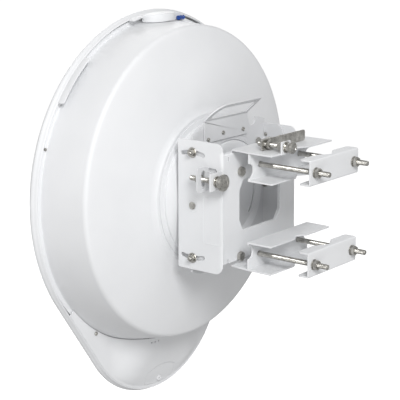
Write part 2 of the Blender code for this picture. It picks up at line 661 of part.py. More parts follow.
def carry_handle():
    near = DISH_WEB + GAP
    foot = [(0.0640, 0.0880), (0.0640, HANDLE_FOLD), (-0.0420, HANDLE_FOLD), (-0.0420, 0.0880)]
    base = plate("base", [foot], "XZ", near, near + SHEET)
    outer = [(0.0640, -0.0012)] + arc((0.0320, -0.0012), 0.0332, 18, 90, 8)
    outer = outer + [(-0.0525, 0.0318), (-0.0420, 0.0040), (-0.0420, -0.0012)]
    inner = [(0.0535, 0.0050)] + arc((0.0300, 0.0000), 0.0255, 25, 90, 6)
    inner = inner + [(-0.0430, 0.0248), (-0.0350, 0.0050)]
    lean = Matrix.Translation((0, near + SHEET / 2, HANDLE_FOLD)) @ Matrix.Rotation(-HANDLE_TILT, 4, "X")
    grip = plate("grip", [outer, inner], "XZ", -SHEET / 2, SHEET / 2, lean)
    body = join("carry_handle", base, [grip])
    holes = [rod("hole", (x, near, z), "Y", 0.0022, 0.0140, 12) for x, z in HANDLE_SCREWS]
    put("carry_handle", cut("carry_handle", body, holes), WHITE_METAL)


def handle_screws():
    screws = [screw_head(x, DISH_WEB + 2 * GAP + SHEET + 0.0022, z, 0.0052) for x, z in HANDLE_SCREWS]
    put_each("handle_screw", screws, STEEL)


# ---------------------------------------------------------------- elevation: yoke, pivots, locks and screw
def yoke():
    lug = [(YOKE_X - 0.0010, 0.0590), (EL_SCREW_X + 0.0140, 0.0590), (EL_SCREW_X + 0.0140, 0.0330),
           (YOKE_X - 0.0010, 0.0330)]
    web_edge = rounded(-YOKE_X, -YOKE_WEB_Z, YOKE_X, YOKE_WEB_Z, 0.0010, 1)
    web = plate("web", [web_edge, WEB_WINDOW], "XZ", YOKE_BACK - SHEET, YOKE_BACK)
    tab = plate("tab", [lug], "XZ", YOKE_BACK - SHEET, YOKE_BACK)
    top = [(YOKE_BACK, YOKE_WEB_Z)] + arc((YOKE_BACK - 0.0120, YOKE_H - 0.0120), 0.0120, 10, 90, 5)
    top = top + arc((YOKE_FRONT + 0.0030, YOKE_H - 0.0030), 0.0030, 90, 180, 2)
    edge = top + [(y, -z) for y, z in reversed(top)]
    slots = [arc_slot((PIVOT_Y, 0), LOCK_R, middle, math.degrees(LOCK_ANGLE), M6_R + GAP) for middle in (90, 270)]
    window = rounded(-0.1330, 0.0315, -0.1060, 0.0605, 0.0030, 2)
    pivot = circle((PIVOT_Y, 0), SCREW_R + GAP, 20)
    near = plate("near", [edge, pivot, window] + slots, "YZ", YOKE_X - SHEET, YOKE_X)
    far = plate("far", [edge, pivot] + slots, "YZ", -YOKE_X, -YOKE_X + SHEET)
    body = join("elevation_yoke", web, [tab, near, far])
    holes = [rod("hole", (EL_SCREW_X, YOKE_BACK, EL_SCREW_Z), "Y", SCREW_R + GAP, 0.0200, 20)]
    for x in (-WEB_BOLT_X, WEB_BOLT_X):
        for z in WEB_BOLT_Z:
            holes.append(rod("hole", (x, YOKE_BACK, z), "Y", SCREW_R + GAP, 0.0100, 20))
    for x in (-0.0790, 0.0790):
        for z in (-0.0800, 0.0740):
            holes.append(box("slit", (x - 0.0015, YOKE_BACK - 0.0050, z - 0.0035),
                             (x + 0.0015, YOKE_BACK + 0.0050, z + 0.0035)))
    put("elevation_yoke", cut("elevation_yoke", body, holes), WHITE_METAL)


YOKE_WEB_Z = 0.0827
WEB_WINDOW = [(0.0520, -0.0230), (0.0520, 0.0230), (0.0420, 0.0390), (-0.0420, 0.0390),
              (-0.0520, 0.0230), (-0.0520, -0.0230), (-0.0420, -0.0390), (0.0420, -0.0390)]
LIP_X = 0.0380
LIP_REAR = -0.0700
DRIVE_X = -0.0280


def azimuth_channel():
    """Bolted inside the yoke's web, with two lips that turn on the mast brackets' flanges."""
    front = YOKE_BACK - SHEET - GAP - SHEET
    half = WEB_TOP
    web = plate("web", [rounded(-0.0640, -half, 0.0640, half, 0.0020, 2), WEB_WINDOW], "XZ", front, front + SHEET)
    lips = []
    for side in (-1, 1):
        low, high = sorted((side * (half - SHEET + GAP), side * half))
        lips.append(plate("lip", [rounded(-LIP_X, front + 0.0010, LIP_X, LIP_REAR, 0.0010, 1)], "XY", low, high))
    body = join("azimuth_channel", web, lips)
    holes = [rod("pivot", (0, AZIMUTH_Y, 0), "Z", SCREW_R + GAP, 0.3000, 20),
             rod("drive", (DRIVE_X, AZIMUTH_Y, 0), "Z", M6_R + GAP, 0.3000, 16)]
    for x in (-WEB_BOLT_X, WEB_BOLT_X):
        for z in WEB_BOLT_Z:
            holes.append(rod("hole", (x, front, z), "Y", SCREW_R + GAP, 0.0100, 20))
    put("azimuth_channel", cut("azimuth_channel", body, holes), WHITE_METAL)


def yoke_web_bolts():
    """Bolts with their tightened nuts, through the yoke's web and the azimuth channel."""
    front = YOKE_BACK - 2 * SHEET - GAP
    bolts = []
    for x in (-WEB_BOLT_X, WEB_BOLT_X):
        for z in WEB_BOLT_Z:
            shank = bolt("bolt", (x, YOKE_BACK + GAP, z), (x, front - 0.0100, z), SCREW_R, M8_FLAT, 0.0055)
            nut = plate("nut", [hexagon((x, z), M8_FLAT)], "XZ", front - GAP - M8_TALL, front - GAP)
            bolts.append(join("bolt", shank, [nut]))
    put_each("yoke_web_bolt", bolts, STEEL)


def elevation_hardware():
    pins, locks = [], []
    for side in (-1, 1):
        pin = rod("pin", (side * 0.0912, PIVOT_Y, 0), "X", SCREW_R, 0.0074, 20)
        cap = rod("cap", (side * (YOKE_X + GAP + 0.0010), PIVOT_Y, 0), "X", 0.0058, 0.0020, 20)
        pins.append(join("pin", pin, [cap]))
        for z in (-LOCK_R, LOCK_R):
            stud = rod("stud", (side * 0.0960, PIVOT_Y, z), "X", M6_R, 0.0160, 16)
            ring = rod("ring", (side * (YOKE_X + GAP + 0.0008), PIVOT_Y, z), "X", 0.0078, 0.0016, 24)
            nut = rod("nut", (side * (YOKE_X + 0.0015 + M6_TALL / 2), PIVOT_Y, z), "X", M6_FLAT / math.sqrt(3),
                      M6_TALL, 6)
            locks.append(join("lock", stud, [ring, nut]))
    put_each("elevation_pivot_pin", pins, STEEL)
    put_each("elevation_lock_bolt", locks, STEEL)


def adjusting_screw(name, x, z, tab_front, tab_rear, tip, head, head_r, head_t):
    """A screw parallel to Y, held by a collar nut before its tab and a washer and head behind it."""
    shank = rod("shank", (x, (tip + head) / 2, z), "Y", SCREW_R, head - tip, 20)
    knob = rod("knob", (x, head, z), "Y", head_r, head_t, 32)
    boss = rod("boss", (x, (tab_rear + 0.0014 + head) / 2, z), "Y", 0.0062, head - tab_rear - 0.0030, 20)
    collar = plate("collar", [hexagon((x, z), M8_FLAT)], "XZ", tab_front - 0.0084, tab_front - 0.0014)
    rings = [rod("ring", (x, tab_rear + GAP + 0.0010, z), "Y", 0.0085, 0.0020, 24),
             rod("ring", (x, tab_front - GAP - 0.0009, z), "Y", 0.0085, 0.0018, 24)]
    put(name, join(name, shank, [knob, boss, collar] + rings), STEEL)


EL_NUT_GAP = 0.0022


def elevation_adjuster():
    adjusting_screw("elevation_screw", EL_SCREW_X, EL_SCREW_Z, YOKE_BACK - SHEET, YOKE_BACK, -0.1430, -0.0830,
                    0.0125, 0.0050)
    level_y = LUG_Y - SHEET - EL_NUT_GAP - M8_TALL / 2
    put("elevation_nut", hex_nut("nut", EL_SCREW_X, level_y, EL_SCREW_Z, M8_FLAT, M8_TALL), STEEL)


# ---------------------------------------------------------------- azimuth: pivots, arm and screw
AZ_NUT_GAP = 0.0018
AZ_TAB_X = (0.0340, 0.0560)
AZ_TAB_Y = (-0.0205, -0.0180)
ARM_LOW = BRACKET_TOP + GAP
ARM_TOP = 0.1050


def azimuth_arm():
    leg = plate("leg", [rounded(-0.0400, -0.0890, 0.0200, ARM_Y - 0.0010, 0.0020, 2)], "XY", ARM_LOW,
                ARM_LOW + SHEET)
    wall = plate("wall", [rounded(-0.0500, ARM_LOW, 0.0600, ARM_TOP, 0.0030, 2),
                          rounded(AZ_SCREW_X - 0.0100, AZ_SCREW_Z - 0.0045, AZ_SCREW_X + 0.0100,
                                  AZ_SCREW_Z + 0.0045, 0.0044)], "XZ", ARM_Y - SHEET, ARM_Y)
    holes = [rod("pivot", (0, AZIMUTH_Y, ARM_LOW), "Z", SCREW_R + GAP, 0.0200, 20),
             rod("drive", (DRIVE_X, AZIMUTH_Y, ARM_LOW), "Z", M6_R + GAP, 0.0200, 16)]
    put("azimuth_arm", cut("azimuth_arm", join("azimuth_arm", leg, [wall]), holes), STEEL)


def azimuth_hardware():
    arm_top = ARM_LOW + SHEET + GAP
    lip_inner = WEB_TOP - SHEET + GAP
    pivots = []
    for side, start in ((1, arm_top), (-1, BRACKET_TOP + GAP)):
        inner = lip_inner - GAP - M8_TALL - 0.0015
        pivot = bolt("pivot", (0, AZIMUTH_Y, side * start), (0, AZIMUTH_Y, side * inner), SCREW_R, M8_FLAT, 0.0052)
        nut = rod("nut", (0, AZIMUTH_Y, side * (lip_inner - GAP - M8_TALL / 2)), "Z", M8_FLAT / math.sqrt(3),
                  M8_TALL, 6)
        pivots.append(join("pivot", pivot, [nut]))
    put_each("azimuth_pivot_bolt", pivots, STEEL)
    inner = lip_inner - GAP - M6_TALL - 0.0015
    drive = bolt("drive", (DRIVE_X, AZIMUTH_Y, arm_top), (DRIVE_X, AZIMUTH_Y, inner), M6_R, M6_FLAT, 0.0042)
    nut = rod("nut", (DRIVE_X, AZIMUTH_Y, lip_inner - GAP - M6_TALL / 2), "Z", M6_FLAT / math.sqrt(3), M6_TALL, 6)
    put("azimuth_drive_bolt", join("drive", drive, [nut]), STEEL)


def azimuth_adjuster():
    adjusting_screw("azimuth_screw", AZ_SCREW_X, AZ_SCREW_Z, AZ_TAB_Y[0], AZ_TAB_Y[1], -0.0660, -0.0065,
                    0.0086, 0.0050)
    away = AZ_NUT_GAP + M6_TALL / 2
    pair = [hex_nut("nut", AZ_SCREW_X, y, AZ_SCREW_Z, M8_FLAT, M6_TALL) for y in (ARM_Y + away, ARM_Y - SHEET - away)]
    put_each("azimuth_screw_nut", pair, STEEL)


# ---------------------------------------------------------------- mast brackets, rods and clamps
def v_notch(depth_y, edge_y):
    """A notch of 120 degrees between its point at depth_y and an edge, with room to spare past the edge."""
    over = edge_y + math.copysign(0.0100, edge_y - depth_y)
    half = abs(over - depth_y) * math.tan(math.radians(60))
    return [(0.0, depth_y), (half, over), (-half, over)]


def bracket_body(name, forward_extra):
    """The upper mast bracket; the lower one is its mirror image."""
    half = BRACKET_X
    point = MAST_R / math.sin(math.radians(60))
    top = [(-0.0730, BRACKET_FRONT), (0.0730, BRACKET_FRONT), (half, BRACKET_WEB - SHEET), (half + 0.0010, BRACKET_BACK),
           (-half - 0.0010, BRACKET_BACK), (-half, BRACKET_WEB - SHEET)]
    slot = arc_slot((0, AZIMUTH_Y), abs(DRIVE_X), 180, 13, M6_R + GAP, 4)
    upper = plate("upper", [top, circle((0, AZIMUTH_Y), SCREW_R + GAP, 20), slot], "XY", BRACKET_TOP - SHEET,
                  BRACKET_TOP)
    lower = plate("lower", [rounded(-half, BRACKET_WEB - SHEET, half, BRACKET_BACK, 0.0020, 2)], "XY",
                  BRACKET_LOW - SHEET, BRACKET_LOW)
    web = box("web", (-half, BRACKET_WEB - SHEET, BRACKET_LOW - SHEET), (half, BRACKET_WEB, BRACKET_TOP))
    pieces = [upper, lower]
    if forward_extra:
        pieces.append(box("tab", (AZ_TAB_X[0], AZ_TAB_Y[0], BRACKET_TOP - SHEET), (AZ_TAB_X[1], AZ_TAB_Y[1], ARM_TOP)))
    body = join(name, web, pieces)
    holes = [plate("notch", [v_notch(-point, BRACKET_BACK)], "XY", 0.0300, 0.1200)]
    for side in (-1, 1):
        holes.append(rod("bite", (side * half, BRACKET_WEB, 0.0605), "Y", 0.0110, 0.0100, 24))
        holes.append(rod("hole", (side * ROD_X, BRACKET_WEB, ROD_Z), "Y", SCREW_R + GAP, 0.0100, 20))
    if forward_extra:
        holes.append(rod("hole", (AZ_SCREW_X, AZ_TAB_Y[0], AZ_SCREW_Z), "Y", SCREW_R + GAP, 0.0100, 20))
    return cut(name, body, holes)


def mast_brackets():
    flip = Matrix.Scale(-1, 4, (0, 0, 1))
    put("mast_bracket_upper", bracket_body("mast_bracket_upper", True), WHITE_METAL)
    put("mast_bracket_lower", moved(bracket_body("lower", False), flip), WHITE_METAL)


def clamp_rods():
    rods = []
    for x in (-ROD_X, ROD_X):
        for z in (-ROD_Z, ROD_Z):
            rods.append(bolt("rod", (x, BRACKET_WEB - SHEET - GAP, z), (x, ROD_END, z), SCREW_R, M8_FLAT, 0.0055))
    put_each("clamp_bolt", rods, STEEL)


def clamp_body(name, z):
    point = MAST_R / math.sin(math.radians(60))
    half = CLAMP_X
    low, high = z - CLAMP_H / 2, z + CLAMP_H / 2
    web = box("web", (-half, CLAMP_BACK - SHEET, low), (half, CLAMP_BACK, high))
    flange = [(-half, CLAMP_BACK)] + arc((-half + 0.0060, CLAMP_FRONT + 0.0060), 0.0060, 180, 270, 4)
    flange = flange + arc((half - 0.0060, CLAMP_FRONT + 0.0060), 0.0060, 270, 360, 4) + [(half, CLAMP_BACK)]
    flanges = [plate("flange", [flange], "XY", start, start + SHEET) for start in (low, high - SHEET)]
    holes = [plate("notch", [v_notch(point, CLAMP_FRONT)], "XY", low - 0.0100, high + 0.0100)]
    for x in (-ROD_X, ROD_X):
        holes.append(rod("hole", (x, CLAMP_BACK, z), "Y", SCREW_R + GAP, 0.0100, 20))
    return cut(name, join(name, web, flanges), holes)


def flanged_nut(x, y, z):
    """A nut and its washer, which turn as one, on a rod parallel to Y."""
    bore = circle((x, z), SCREW_R + GAP)
    nut = plate("nut", [hexagon((x, z), M8_FLAT), bore], "XZ", y + 0.0010, y + 0.0016 + M8_TALL)
    return join("nut", plate("ring", [circle((x, z), 0.0078), bore], "XZ", y, y + 0.0016), [nut])


def clamps():
    for place, z in (("upper", ROD_Z), ("lower", -ROD_Z)):
        put(f"clamp_{place}", clamp_body(f"clamp_{place}", z), WHITE_METAL)
        put_each(f"clamp_nut_{place}", [flanged_nut(x, CLAMP_BACK + GAP, z) for x in (-ROD_X, ROD_X)], STEEL)


# ---------------------------------------------------------------- the assembly
radome_front()
reflector_shell()
rim_gasket()
rim_screws()
chin_rear_cover()
status_lights()
cable_door()
door_latch()
main_board()
heat_sink()
sockets()
feed()
level()
hub_adapter()
dish_bracket()
bracket_screws()
carry_handle()
handle_screws()
yoke()
azimuth_channel()
yoke_web_bolts()
elevation_hardware()
elevation_adjuster()
azimuth_arm()
azimuth_hardware()
azimuth_adjuster()
mast_brackets()
clamp_rods()
clamps()
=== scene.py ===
"""Looks of the outdoor wireless bridge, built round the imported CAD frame.

Metres, +Z up. The mast would stand on the Z axis, the dish looks along -Y, and Z = 0 is the dish's height.
"""
import json
import math

import bmesh
import bpy
from mathutils import Matrix, Vector


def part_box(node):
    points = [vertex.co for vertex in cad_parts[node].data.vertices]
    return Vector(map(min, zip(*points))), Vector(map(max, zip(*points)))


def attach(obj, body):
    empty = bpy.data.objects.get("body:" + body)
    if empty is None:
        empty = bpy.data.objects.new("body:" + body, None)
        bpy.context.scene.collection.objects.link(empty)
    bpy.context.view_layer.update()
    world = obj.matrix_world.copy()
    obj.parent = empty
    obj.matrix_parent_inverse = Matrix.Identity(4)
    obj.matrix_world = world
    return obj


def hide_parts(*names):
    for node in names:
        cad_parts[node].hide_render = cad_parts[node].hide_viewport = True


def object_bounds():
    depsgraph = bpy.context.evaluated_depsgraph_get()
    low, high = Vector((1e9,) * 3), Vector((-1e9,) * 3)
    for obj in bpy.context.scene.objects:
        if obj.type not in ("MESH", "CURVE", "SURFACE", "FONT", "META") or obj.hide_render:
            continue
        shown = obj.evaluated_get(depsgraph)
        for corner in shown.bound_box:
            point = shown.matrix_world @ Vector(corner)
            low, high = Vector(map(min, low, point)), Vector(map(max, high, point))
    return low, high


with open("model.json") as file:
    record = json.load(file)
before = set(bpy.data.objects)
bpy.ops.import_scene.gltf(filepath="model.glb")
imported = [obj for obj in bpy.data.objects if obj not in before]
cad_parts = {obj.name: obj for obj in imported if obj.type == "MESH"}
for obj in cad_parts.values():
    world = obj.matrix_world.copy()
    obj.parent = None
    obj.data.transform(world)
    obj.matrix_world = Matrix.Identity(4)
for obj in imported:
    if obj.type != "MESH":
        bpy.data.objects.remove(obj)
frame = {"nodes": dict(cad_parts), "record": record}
CAD_LOW, CAD_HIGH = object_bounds()

# ---------------------------------------------------------------- dimensions shared with the CAD model
GAP = 0.0003                    # clearance between parts that lie against each other
SHEET = 0.0025                  # sheet metal, and the plastic walls
RADOME_LOW, RADOME_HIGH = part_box("radome_front")
DISH_R = RADOME_HIGH.x
CHIN_R = 0.1716                 # smaller circle of the radome's outline
CHIN_DROP = -RADOME_LOW.z - CHIN_R
DOME_Y = -0.3165                # radome: where its front dome begins
DOME_INNER_Y = -0.3140
RIM_Y = -0.3085                 # radome: its widest place
LIP = 0.0035                    # radome: width of its rear lip
LIP_Y = -0.2992                 # radome: its rear edge
WALL_R = 0.2560                 # rear shell: side wall at the lip
CREASE_R = 0.2455               # rear shell: crease between side wall and bowl
CREASE_Y = -0.2260
CREASE_RISE = 0.0080            # rear shell: how far its crease stands above the dish axis
VERTEX_Y = -0.1900              # rear shell: where its bowl would meet the dish axis
SEAT_R = 0.1210                 # rear shell: flat seat of the hub
SEAT_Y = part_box("reflector_shell")[1].y
FLANGE_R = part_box("reflector_shell")[1].x
FLANGE_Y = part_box("reflector_shell")[0].y + SHEET
HUB_R = 0.0800
COVER_Y = -0.2997               # chin cover: its flat rear face
COVER_INSET = 0.0064            # chin cover: from the radome's outline to its edge
POD_TOP_Y = -0.2700             # chin cover: its raised middle
POD_TOP_Z = -0.2350
POD_FOOT_Z = -0.3400
CUT = (-0.33, -0.25)            # chin cover: y values that its openings are cut between
DOOR_X = 0.0350
DOOR_TOP = -0.3060
WEB_Y = -0.1540                 # dish bracket: rear face of its web
PLATE_Y = -0.1636               # hub plate: its front face
YOKE_X = 0.0940                 # yoke: outer face of a cheek
YOKE_BACK = -0.0955             # yoke: rear face of its web
PIVOT_Y = -0.1506               # yoke: tilt axis
AZIMUTH_TAB = (-0.0205, -0.0180)
BRACKET_Z = 0.0833              # azimuth bolts: where their nuts sit
CLAMP_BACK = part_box("clamp_upper")[1].y


# ---------------------------------------------------------------- materials
def start_material(name):
    """A new material: itself, its node tree, its shader, and the object's own coordinates."""
    material = bpy.data.materials.new(name)
    material.use_nodes = True
    tree = material.node_tree
    shader = tree.nodes["Principled BSDF"]
    place = tree.nodes.new("ShaderNodeTexCoord")
    return material, tree, shader, place.outputs["Object"]


def noise(tree, place, scale, detail, stretch=None):
    if stretch is not None:
        mapping = tree.nodes.new("ShaderNodeMapping")
        mapping.inputs["Scale"].default_value = stretch
        tree.links.new(place, mapping.inputs["Vector"])
        place = mapping.outputs["Vector"]
    node = tree.nodes.new("ShaderNodeTexNoise")
    node.inputs["Scale"].default_value = scale
    node.inputs["Detail"].default_value = detail
    tree.links.new(place, node.inputs["Vector"])
    return node.outputs["Fac"]


def ramp(tree, value, stops):
    """Colours along a value: (position, colour) stops."""
    node = tree.nodes.new("ShaderNodeValToRGB")
    elements = node.color_ramp.elements
    while len(elements) < len(stops):
        elements.new(0.5)
    for element, (position, colour) in zip(elements, stops):
        element.position = position
        element.color = (*colour, 1.0)
    tree.links.new(value, node.inputs["Fac"])
    return node.outputs["Color"]


def spread(tree, value, low, high):
    """The middle part of a noise stretched to run from low to high."""
    node = tree.nodes.new("ShaderNodeMapRange")
    node.inputs["From Min"].default_value = 0.3
    node.inputs["From Max"].default_value = 0.7
    node.inputs["To Min"].default_value = low
    node.inputs["To Max"].default_value = high
    tree.links.new(value, node.inputs["Value"])
    return node.outputs["Result"]


def bump(tree, shader, heights):
    """Bumps in a chain: (height, strength, distance) of each."""
    normal = None
    for height, strength, distance in heights:
        node = tree.nodes.new("ShaderNodeBump")
        node.inputs["Strength"].default_value = strength
        node.inputs["Distance"].default_value = distance
        tree.links.new(height, node.inputs["Height"])
        if normal is not None:
            tree.links.new(normal, node.inputs["Normal"])
        normal = node.outputs["Normal"]
    tree.links.new(normal, shader.inputs["Normal"])


def coated(name, dark, light, rough, grain, grain_strength):
    """Moulded plastic or powder coat: a fine grain, slow unevenness in shade, and patches in its gloss."""
    material, tree, shader, place = start_material(name)
    slow = noise(tree, place, 9.0, 4.0)
    patches = noise(tree, place, 55.0, 5.0)
    fine = noise(tree, place, grain, 2.0)
    tree.links.new(ramp(tree, slow, ((0.30, dark), (0.70, light))), shader.inputs["Base Color"])
    tree.links.new(spread(tree, patches, rough - 0.05, rough + 0.07), shader.inputs["Roughness"])
    bump(tree, shader, ((fine, grain_strength, 0.0002), (slow, 0.15, 0.0006)))
    return material


def metal(name, dark, light, rough, streak):
    """Bright zinc or bare metal: mottled colour, fine streaks and small pits."""
    material, tree, shader, place = start_material(name)
    shader.inputs["Metallic"].default_value = 1.0
    mottle = noise(tree, place, 170.0, 6.0)
    streaks = noise(tree, place, 900.0, 2.0, streak)
    tree.links.new(ramp(tree, mottle, ((0.28, dark), (0.72, light))), shader.inputs["Base Color"])
    tree.links.new(spread(tree, streaks, rough - 0.08, rough + 0.12), shader.inputs["Roughness"])
    bump(tree, shader, ((streaks, 0.12, 0.0001), (mottle, 0.10, 0.0001)))
    return material


def board_material():
    """Solder mask with copper tracks under it."""
    material, tree, shader, place = start_material("circuit_board")
    tracks = tree.nodes.new("ShaderNodeTexBrick")
    tracks.inputs["Scale"].default_value = 160.0
    tracks.inputs["Mortar Size"].default_value = 0.03
    tracks.inputs["Color1"].default_value = (0.010, 0.115, 0.045, 1.0)
    tracks.inputs["Color2"].default_value = (0.014, 0.145, 0.060, 1.0)
    tracks.inputs["Mortar"].default_value = (0.060, 0.240, 0.090, 1.0)
    turn = tree.nodes.new("ShaderNodeMapping")
    turn.inputs["Rotation"].default_value = (math.pi / 2, 0.0, 0.0)
    tree.links.new(place, turn.inputs["Vector"])
    tree.links.new(turn.outputs["Vector"], tracks.inputs["Vector"])
    tree.links.new(tracks.outputs["Color"], shader.inputs["Base Color"])
    shader.inputs["Roughness"].default_value = 0.35
    bump(tree, shader, ((tracks.outputs["Fac"], 0.3, 0.0001),))
    return material


def vial_material():
    """Blue liquid behind clear acrylic."""
    material, tree, shader, place = start_material("blue_vial")
    depth = noise(tree, place, 260.0, 2.0)
    colour = ramp(tree, depth, ((0.30, (0.004, 0.040, 0.260)), (0.70, (0.010, 0.090, 0.420))))
    tree.links.new(colour, shader.inputs["Base Color"])
    shader.inputs["Roughness"].default_value = 0.08
    shader.inputs["Coat Weight"].default_value = 0.6
    shader.inputs["Transmission Weight"].default_value = 0.15
    bump(tree, shader, ((depth, 0.05, 0.0001),))
    return material


WHITE = coated("white_plastic", (0.770, 0.778, 0.792), (0.815, 0.822, 0.835), 0.46, 2600.0, 0.10)
# A darker copy of the white paint: painted shade for the dish bracket, its handle and its web arcs, which sit
# recessed among the other parts.
PAINT_WITH_PAINTED_SHADE = coated("white_paint_darkened_as_painted_shade", (0.640, 0.647, 0.660), (0.700, 0.707, 0.720), 0.40, 1300.0, 0.16)
PAINT = coated("white_painted_metal", (0.755, 0.764, 0.778), (0.805, 0.812, 0.824), 0.38, 1300.0, 0.16)
ZINC = metal("zinc_steel", (0.360, 0.350, 0.325), (0.640, 0.627, 0.590), 0.30, (1.0, 0.12, 1.0))
CAST = metal("cast_aluminium", (0.560, 0.570, 0.585), (0.720, 0.730, 0.745), 0.48, (1.0, 1.0, 1.0))
RUBBER = coated("black_rubber", (0.018, 0.018, 0.019), (0.035, 0.035, 0.037), 0.75, 1800.0, 0.30)
DARK = coated("dark_plastic", (0.035, 0.036, 0.040), (0.060, 0.061, 0.066), 0.42, 2600.0, 0.10)
VIAL = vial_material()
BOARD = board_material()
SLOTS = {"white_plastic": WHITE, "white_painted_metal": PAINT, "zinc_steel": ZINC, "cast_aluminium": CAST,
         "black_rubber": RUBBER, "dark_plastic": DARK, "blue_vial": VIAL, "circuit_board": BOARD}


# ---------------------------------------------------------------- pieces
def body_of_node(node):
    """The body that a CAD node belongs to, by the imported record."""
    for body, members in frame["record"]["behaviour"]["bodies"].items():
        if node in members:
            return body
    return None


def piece(name, mesh, slot, body, stands_for=(), sharp=32.0):
    """A mesh as a piece of the object: smooth, with its material, its body and the CAD nodes it stands for."""
    obj = bpy.data.objects.new(name, mesh)
    bpy.context.scene.collection.objects.link(obj)
    mesh.materials.clear()
    mesh.materials.append(SLOTS[slot])
    mesh.shade_smooth()
    mesh.set_sharp_from_angle(angle=math.radians(sharp))
    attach(obj, body)
    if stands_for:
        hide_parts(*stands_for)
    return obj


def to_mesh(name, bm):
    """The bmesh as a mesh, with its faces turned outward; the bmesh is freed."""
    bmesh.ops.recalc_face_normals(bm, faces=bm.faces[:])
    mesh = bpy.data.meshes.new(name)
    bm.to_mesh(mesh)
    bm.free()
    return mesh


def refined(name, node, slot, width, bends=None, bend_width=0.0, segments=2):
    """A CAD node with its edges rounded by width, and by bend_width where bends picks a fold of the sheet."""
    bm = bmesh.new()
    bm.from_mesh(frame["nodes"][node].data)
    bmesh.ops.remove_doubles(bm, verts=bm.verts[:], dist=0.000002)
    bmesh.ops.dissolve_limit(bm, angle_limit=math.radians(0.6), verts=bm.verts[:], edges=bm.edges[:])
    if bends is not None:
        folded = [e for e in bm.edges if bends(e.verts[0].co, e.verts[1].co)]
        bmesh.ops.bevel(bm, geom=folded, offset=bend_width, segments=5, profile=0.5, affect="EDGES",
                        clamp_overlap=False)
    corners = [e for e in bm.edges if len(e.link_faces) == 2 and e.calc_face_angle() > math.radians(35)]
    bmesh.ops.bevel(bm, geom=corners, offset=width, segments=segments, profile=0.5, affect="EDGES",
                    clamp_overlap=False)
    bmesh.ops.triangulate(bm, faces=[f for f in bm.faces if len(f.verts) > 4])
    obj = piece(name, to_mesh(name, bm), slot, body_of_node(node), (node,))
    even = obj.modifiers.new("even_shading", "WEIGHTED_NORMAL")
    even.keep_sharp = True
    return obj


def add_loops(bm, loops, closed):
    """Faces between loops of points. The last loop joins the first if closed, or else both ends are capped."""
    rows = [[bm.verts.new(p) for p in loop] for loop in loops]
    pairs = list(zip(rows, rows[1:]))
    if closed:
        pairs.append((rows[-1], rows[0]))
    for near_row, far_row in pairs:
        for i in range(len(near_row)):
            j = (i + 1) % len(near_row)
            bm.faces.new((near_row[i], near_row[j], far_row[j], far_row[i]))
    if not closed:
        bm.faces.new(rows[0])
        bm.faces.new(rows[-1])


def grid_mesh(loops, closed=False):
    bm = bmesh.new()
    add_loops(bm, loops, closed)
    return bm


# ---------------------------------------------------------------- dish: radome
OUTLINE_STEPS = 320


def outline_point(turn, inset):
    """The radome's outline at a polar angle: a big circle and a smaller one below it, joined by tangents."""
    touch_big = math.acos((DISH_R - CHIN_R) / CHIN_DROP)
    big, small = DISH_R - inset, CHIN_R - inset
    side = abs(math.atan2(math.cos(turn), -math.sin(turn)))
    touch_small = math.atan2(small * math.sin(touch_big), CHIN_DROP + small * math.cos(touch_big))
    if side >= touch_big:
        return big
    if side <= touch_small:
        drop = CHIN_DROP * math.cos(side)
        return drop + math.sqrt(small ** 2 - (CHIN_DROP * math.sin(side)) ** 2)
    return big / math.cos(touch_big - side)


def outline_ring(inset, y, size=1.0):
    """The radome's outline as a loop of points, moved in by inset and then scaled by size."""
    ring = []
    for i in range(OUTLINE_STEPS):
        turn = 2 * math.pi * i / OUTLINE_STEPS
        radius = outline_point(turn, inset) * size
        ring.append((radius * math.cos(turn), y, radius * math.sin(turn)))
    return ring


def radome():
    """A shallow dome in front, a rolled rim, and a lip behind it that holds the rear shell."""
    wall, dome = SHEET, DOME_Y - RADOME_LOW.y
    rings = [outline_ring(0.0100, DOME_Y - dome * (1 - size ** 2), size)
             for size in (0.03, 0.15, 0.3, 0.45, 0.6, 0.72, 0.82, 0.9, 0.96)]
    rim = ((0.0100, DOME_Y), (0.0074, -0.3156), (0.0048, -0.3143), (0.0026, -0.3127), (0.0010, -0.3107),
           (0.0002, -0.3094), (0.0000, RIM_Y), (0.0004, -0.3068), (0.0014, -0.3044), (0.0022, -0.3038),
           (0.0027, -0.3020), (0.0034, -0.3004), (0.0040, -0.2995), (0.0047, LIP_Y), (0.0054, -0.2995),
           (0.0058, -0.3003), (0.0058, -0.3020), (wall, RIM_Y), (0.0014 + wall, -0.3103), (0.0066, -0.3122),
           (0.0105, DOME_INNER_Y))
    rings += [outline_ring(inset, y) for inset, y in rim]
    rings += [outline_ring(0.0105, DOME_INNER_Y - dome * (1 - size ** 2), size)
              for size in (0.9, 0.75, 0.5, 0.25, 0.03)]
    mesh = to_mesh("radome", grid_mesh(rings))
    piece("radome", mesh, "white_plastic", "dish", ("radome_front",), 50.0)


def band(name, start, end, inner, outer, low, high):
    """A strip bent round the dish axis, with round edges and round ends."""
    edge, end_round, steps = 0.0006, 0.0030, 40
    rows = []
    for i in range(steps + 1):
        turn = math.radians(start + (end - start) * i / steps)
        reach = min(i, steps - i) / steps * math.radians(end - start) * outer
        shrink = max(0.0, 1.0 - reach / end_round)
        top = high - end_round * (1 - math.sqrt(max(0.0, 1 - shrink ** 2)))
        corners = ((outer, low, 1, 1), (outer, top, 1, -1), (inner, top, -1, -1), (inner, low, -1, 1))
        row = []
        for radius, y, out, up in corners:
            first = (radius, y + up * edge)
            second = (radius - out * edge, y)
            between = (radius - out * edge * 0.3, y + up * edge * 0.3)
            order = (first, between, second) if out * up < 0 else (second, between, first)
            row += [(r * math.cos(turn), t, r * math.sin(turn)) for r, t in order]
        rows.append(row)
    piece(name, to_mesh(name, grid_mesh(rows)), "white_plastic", "dish")


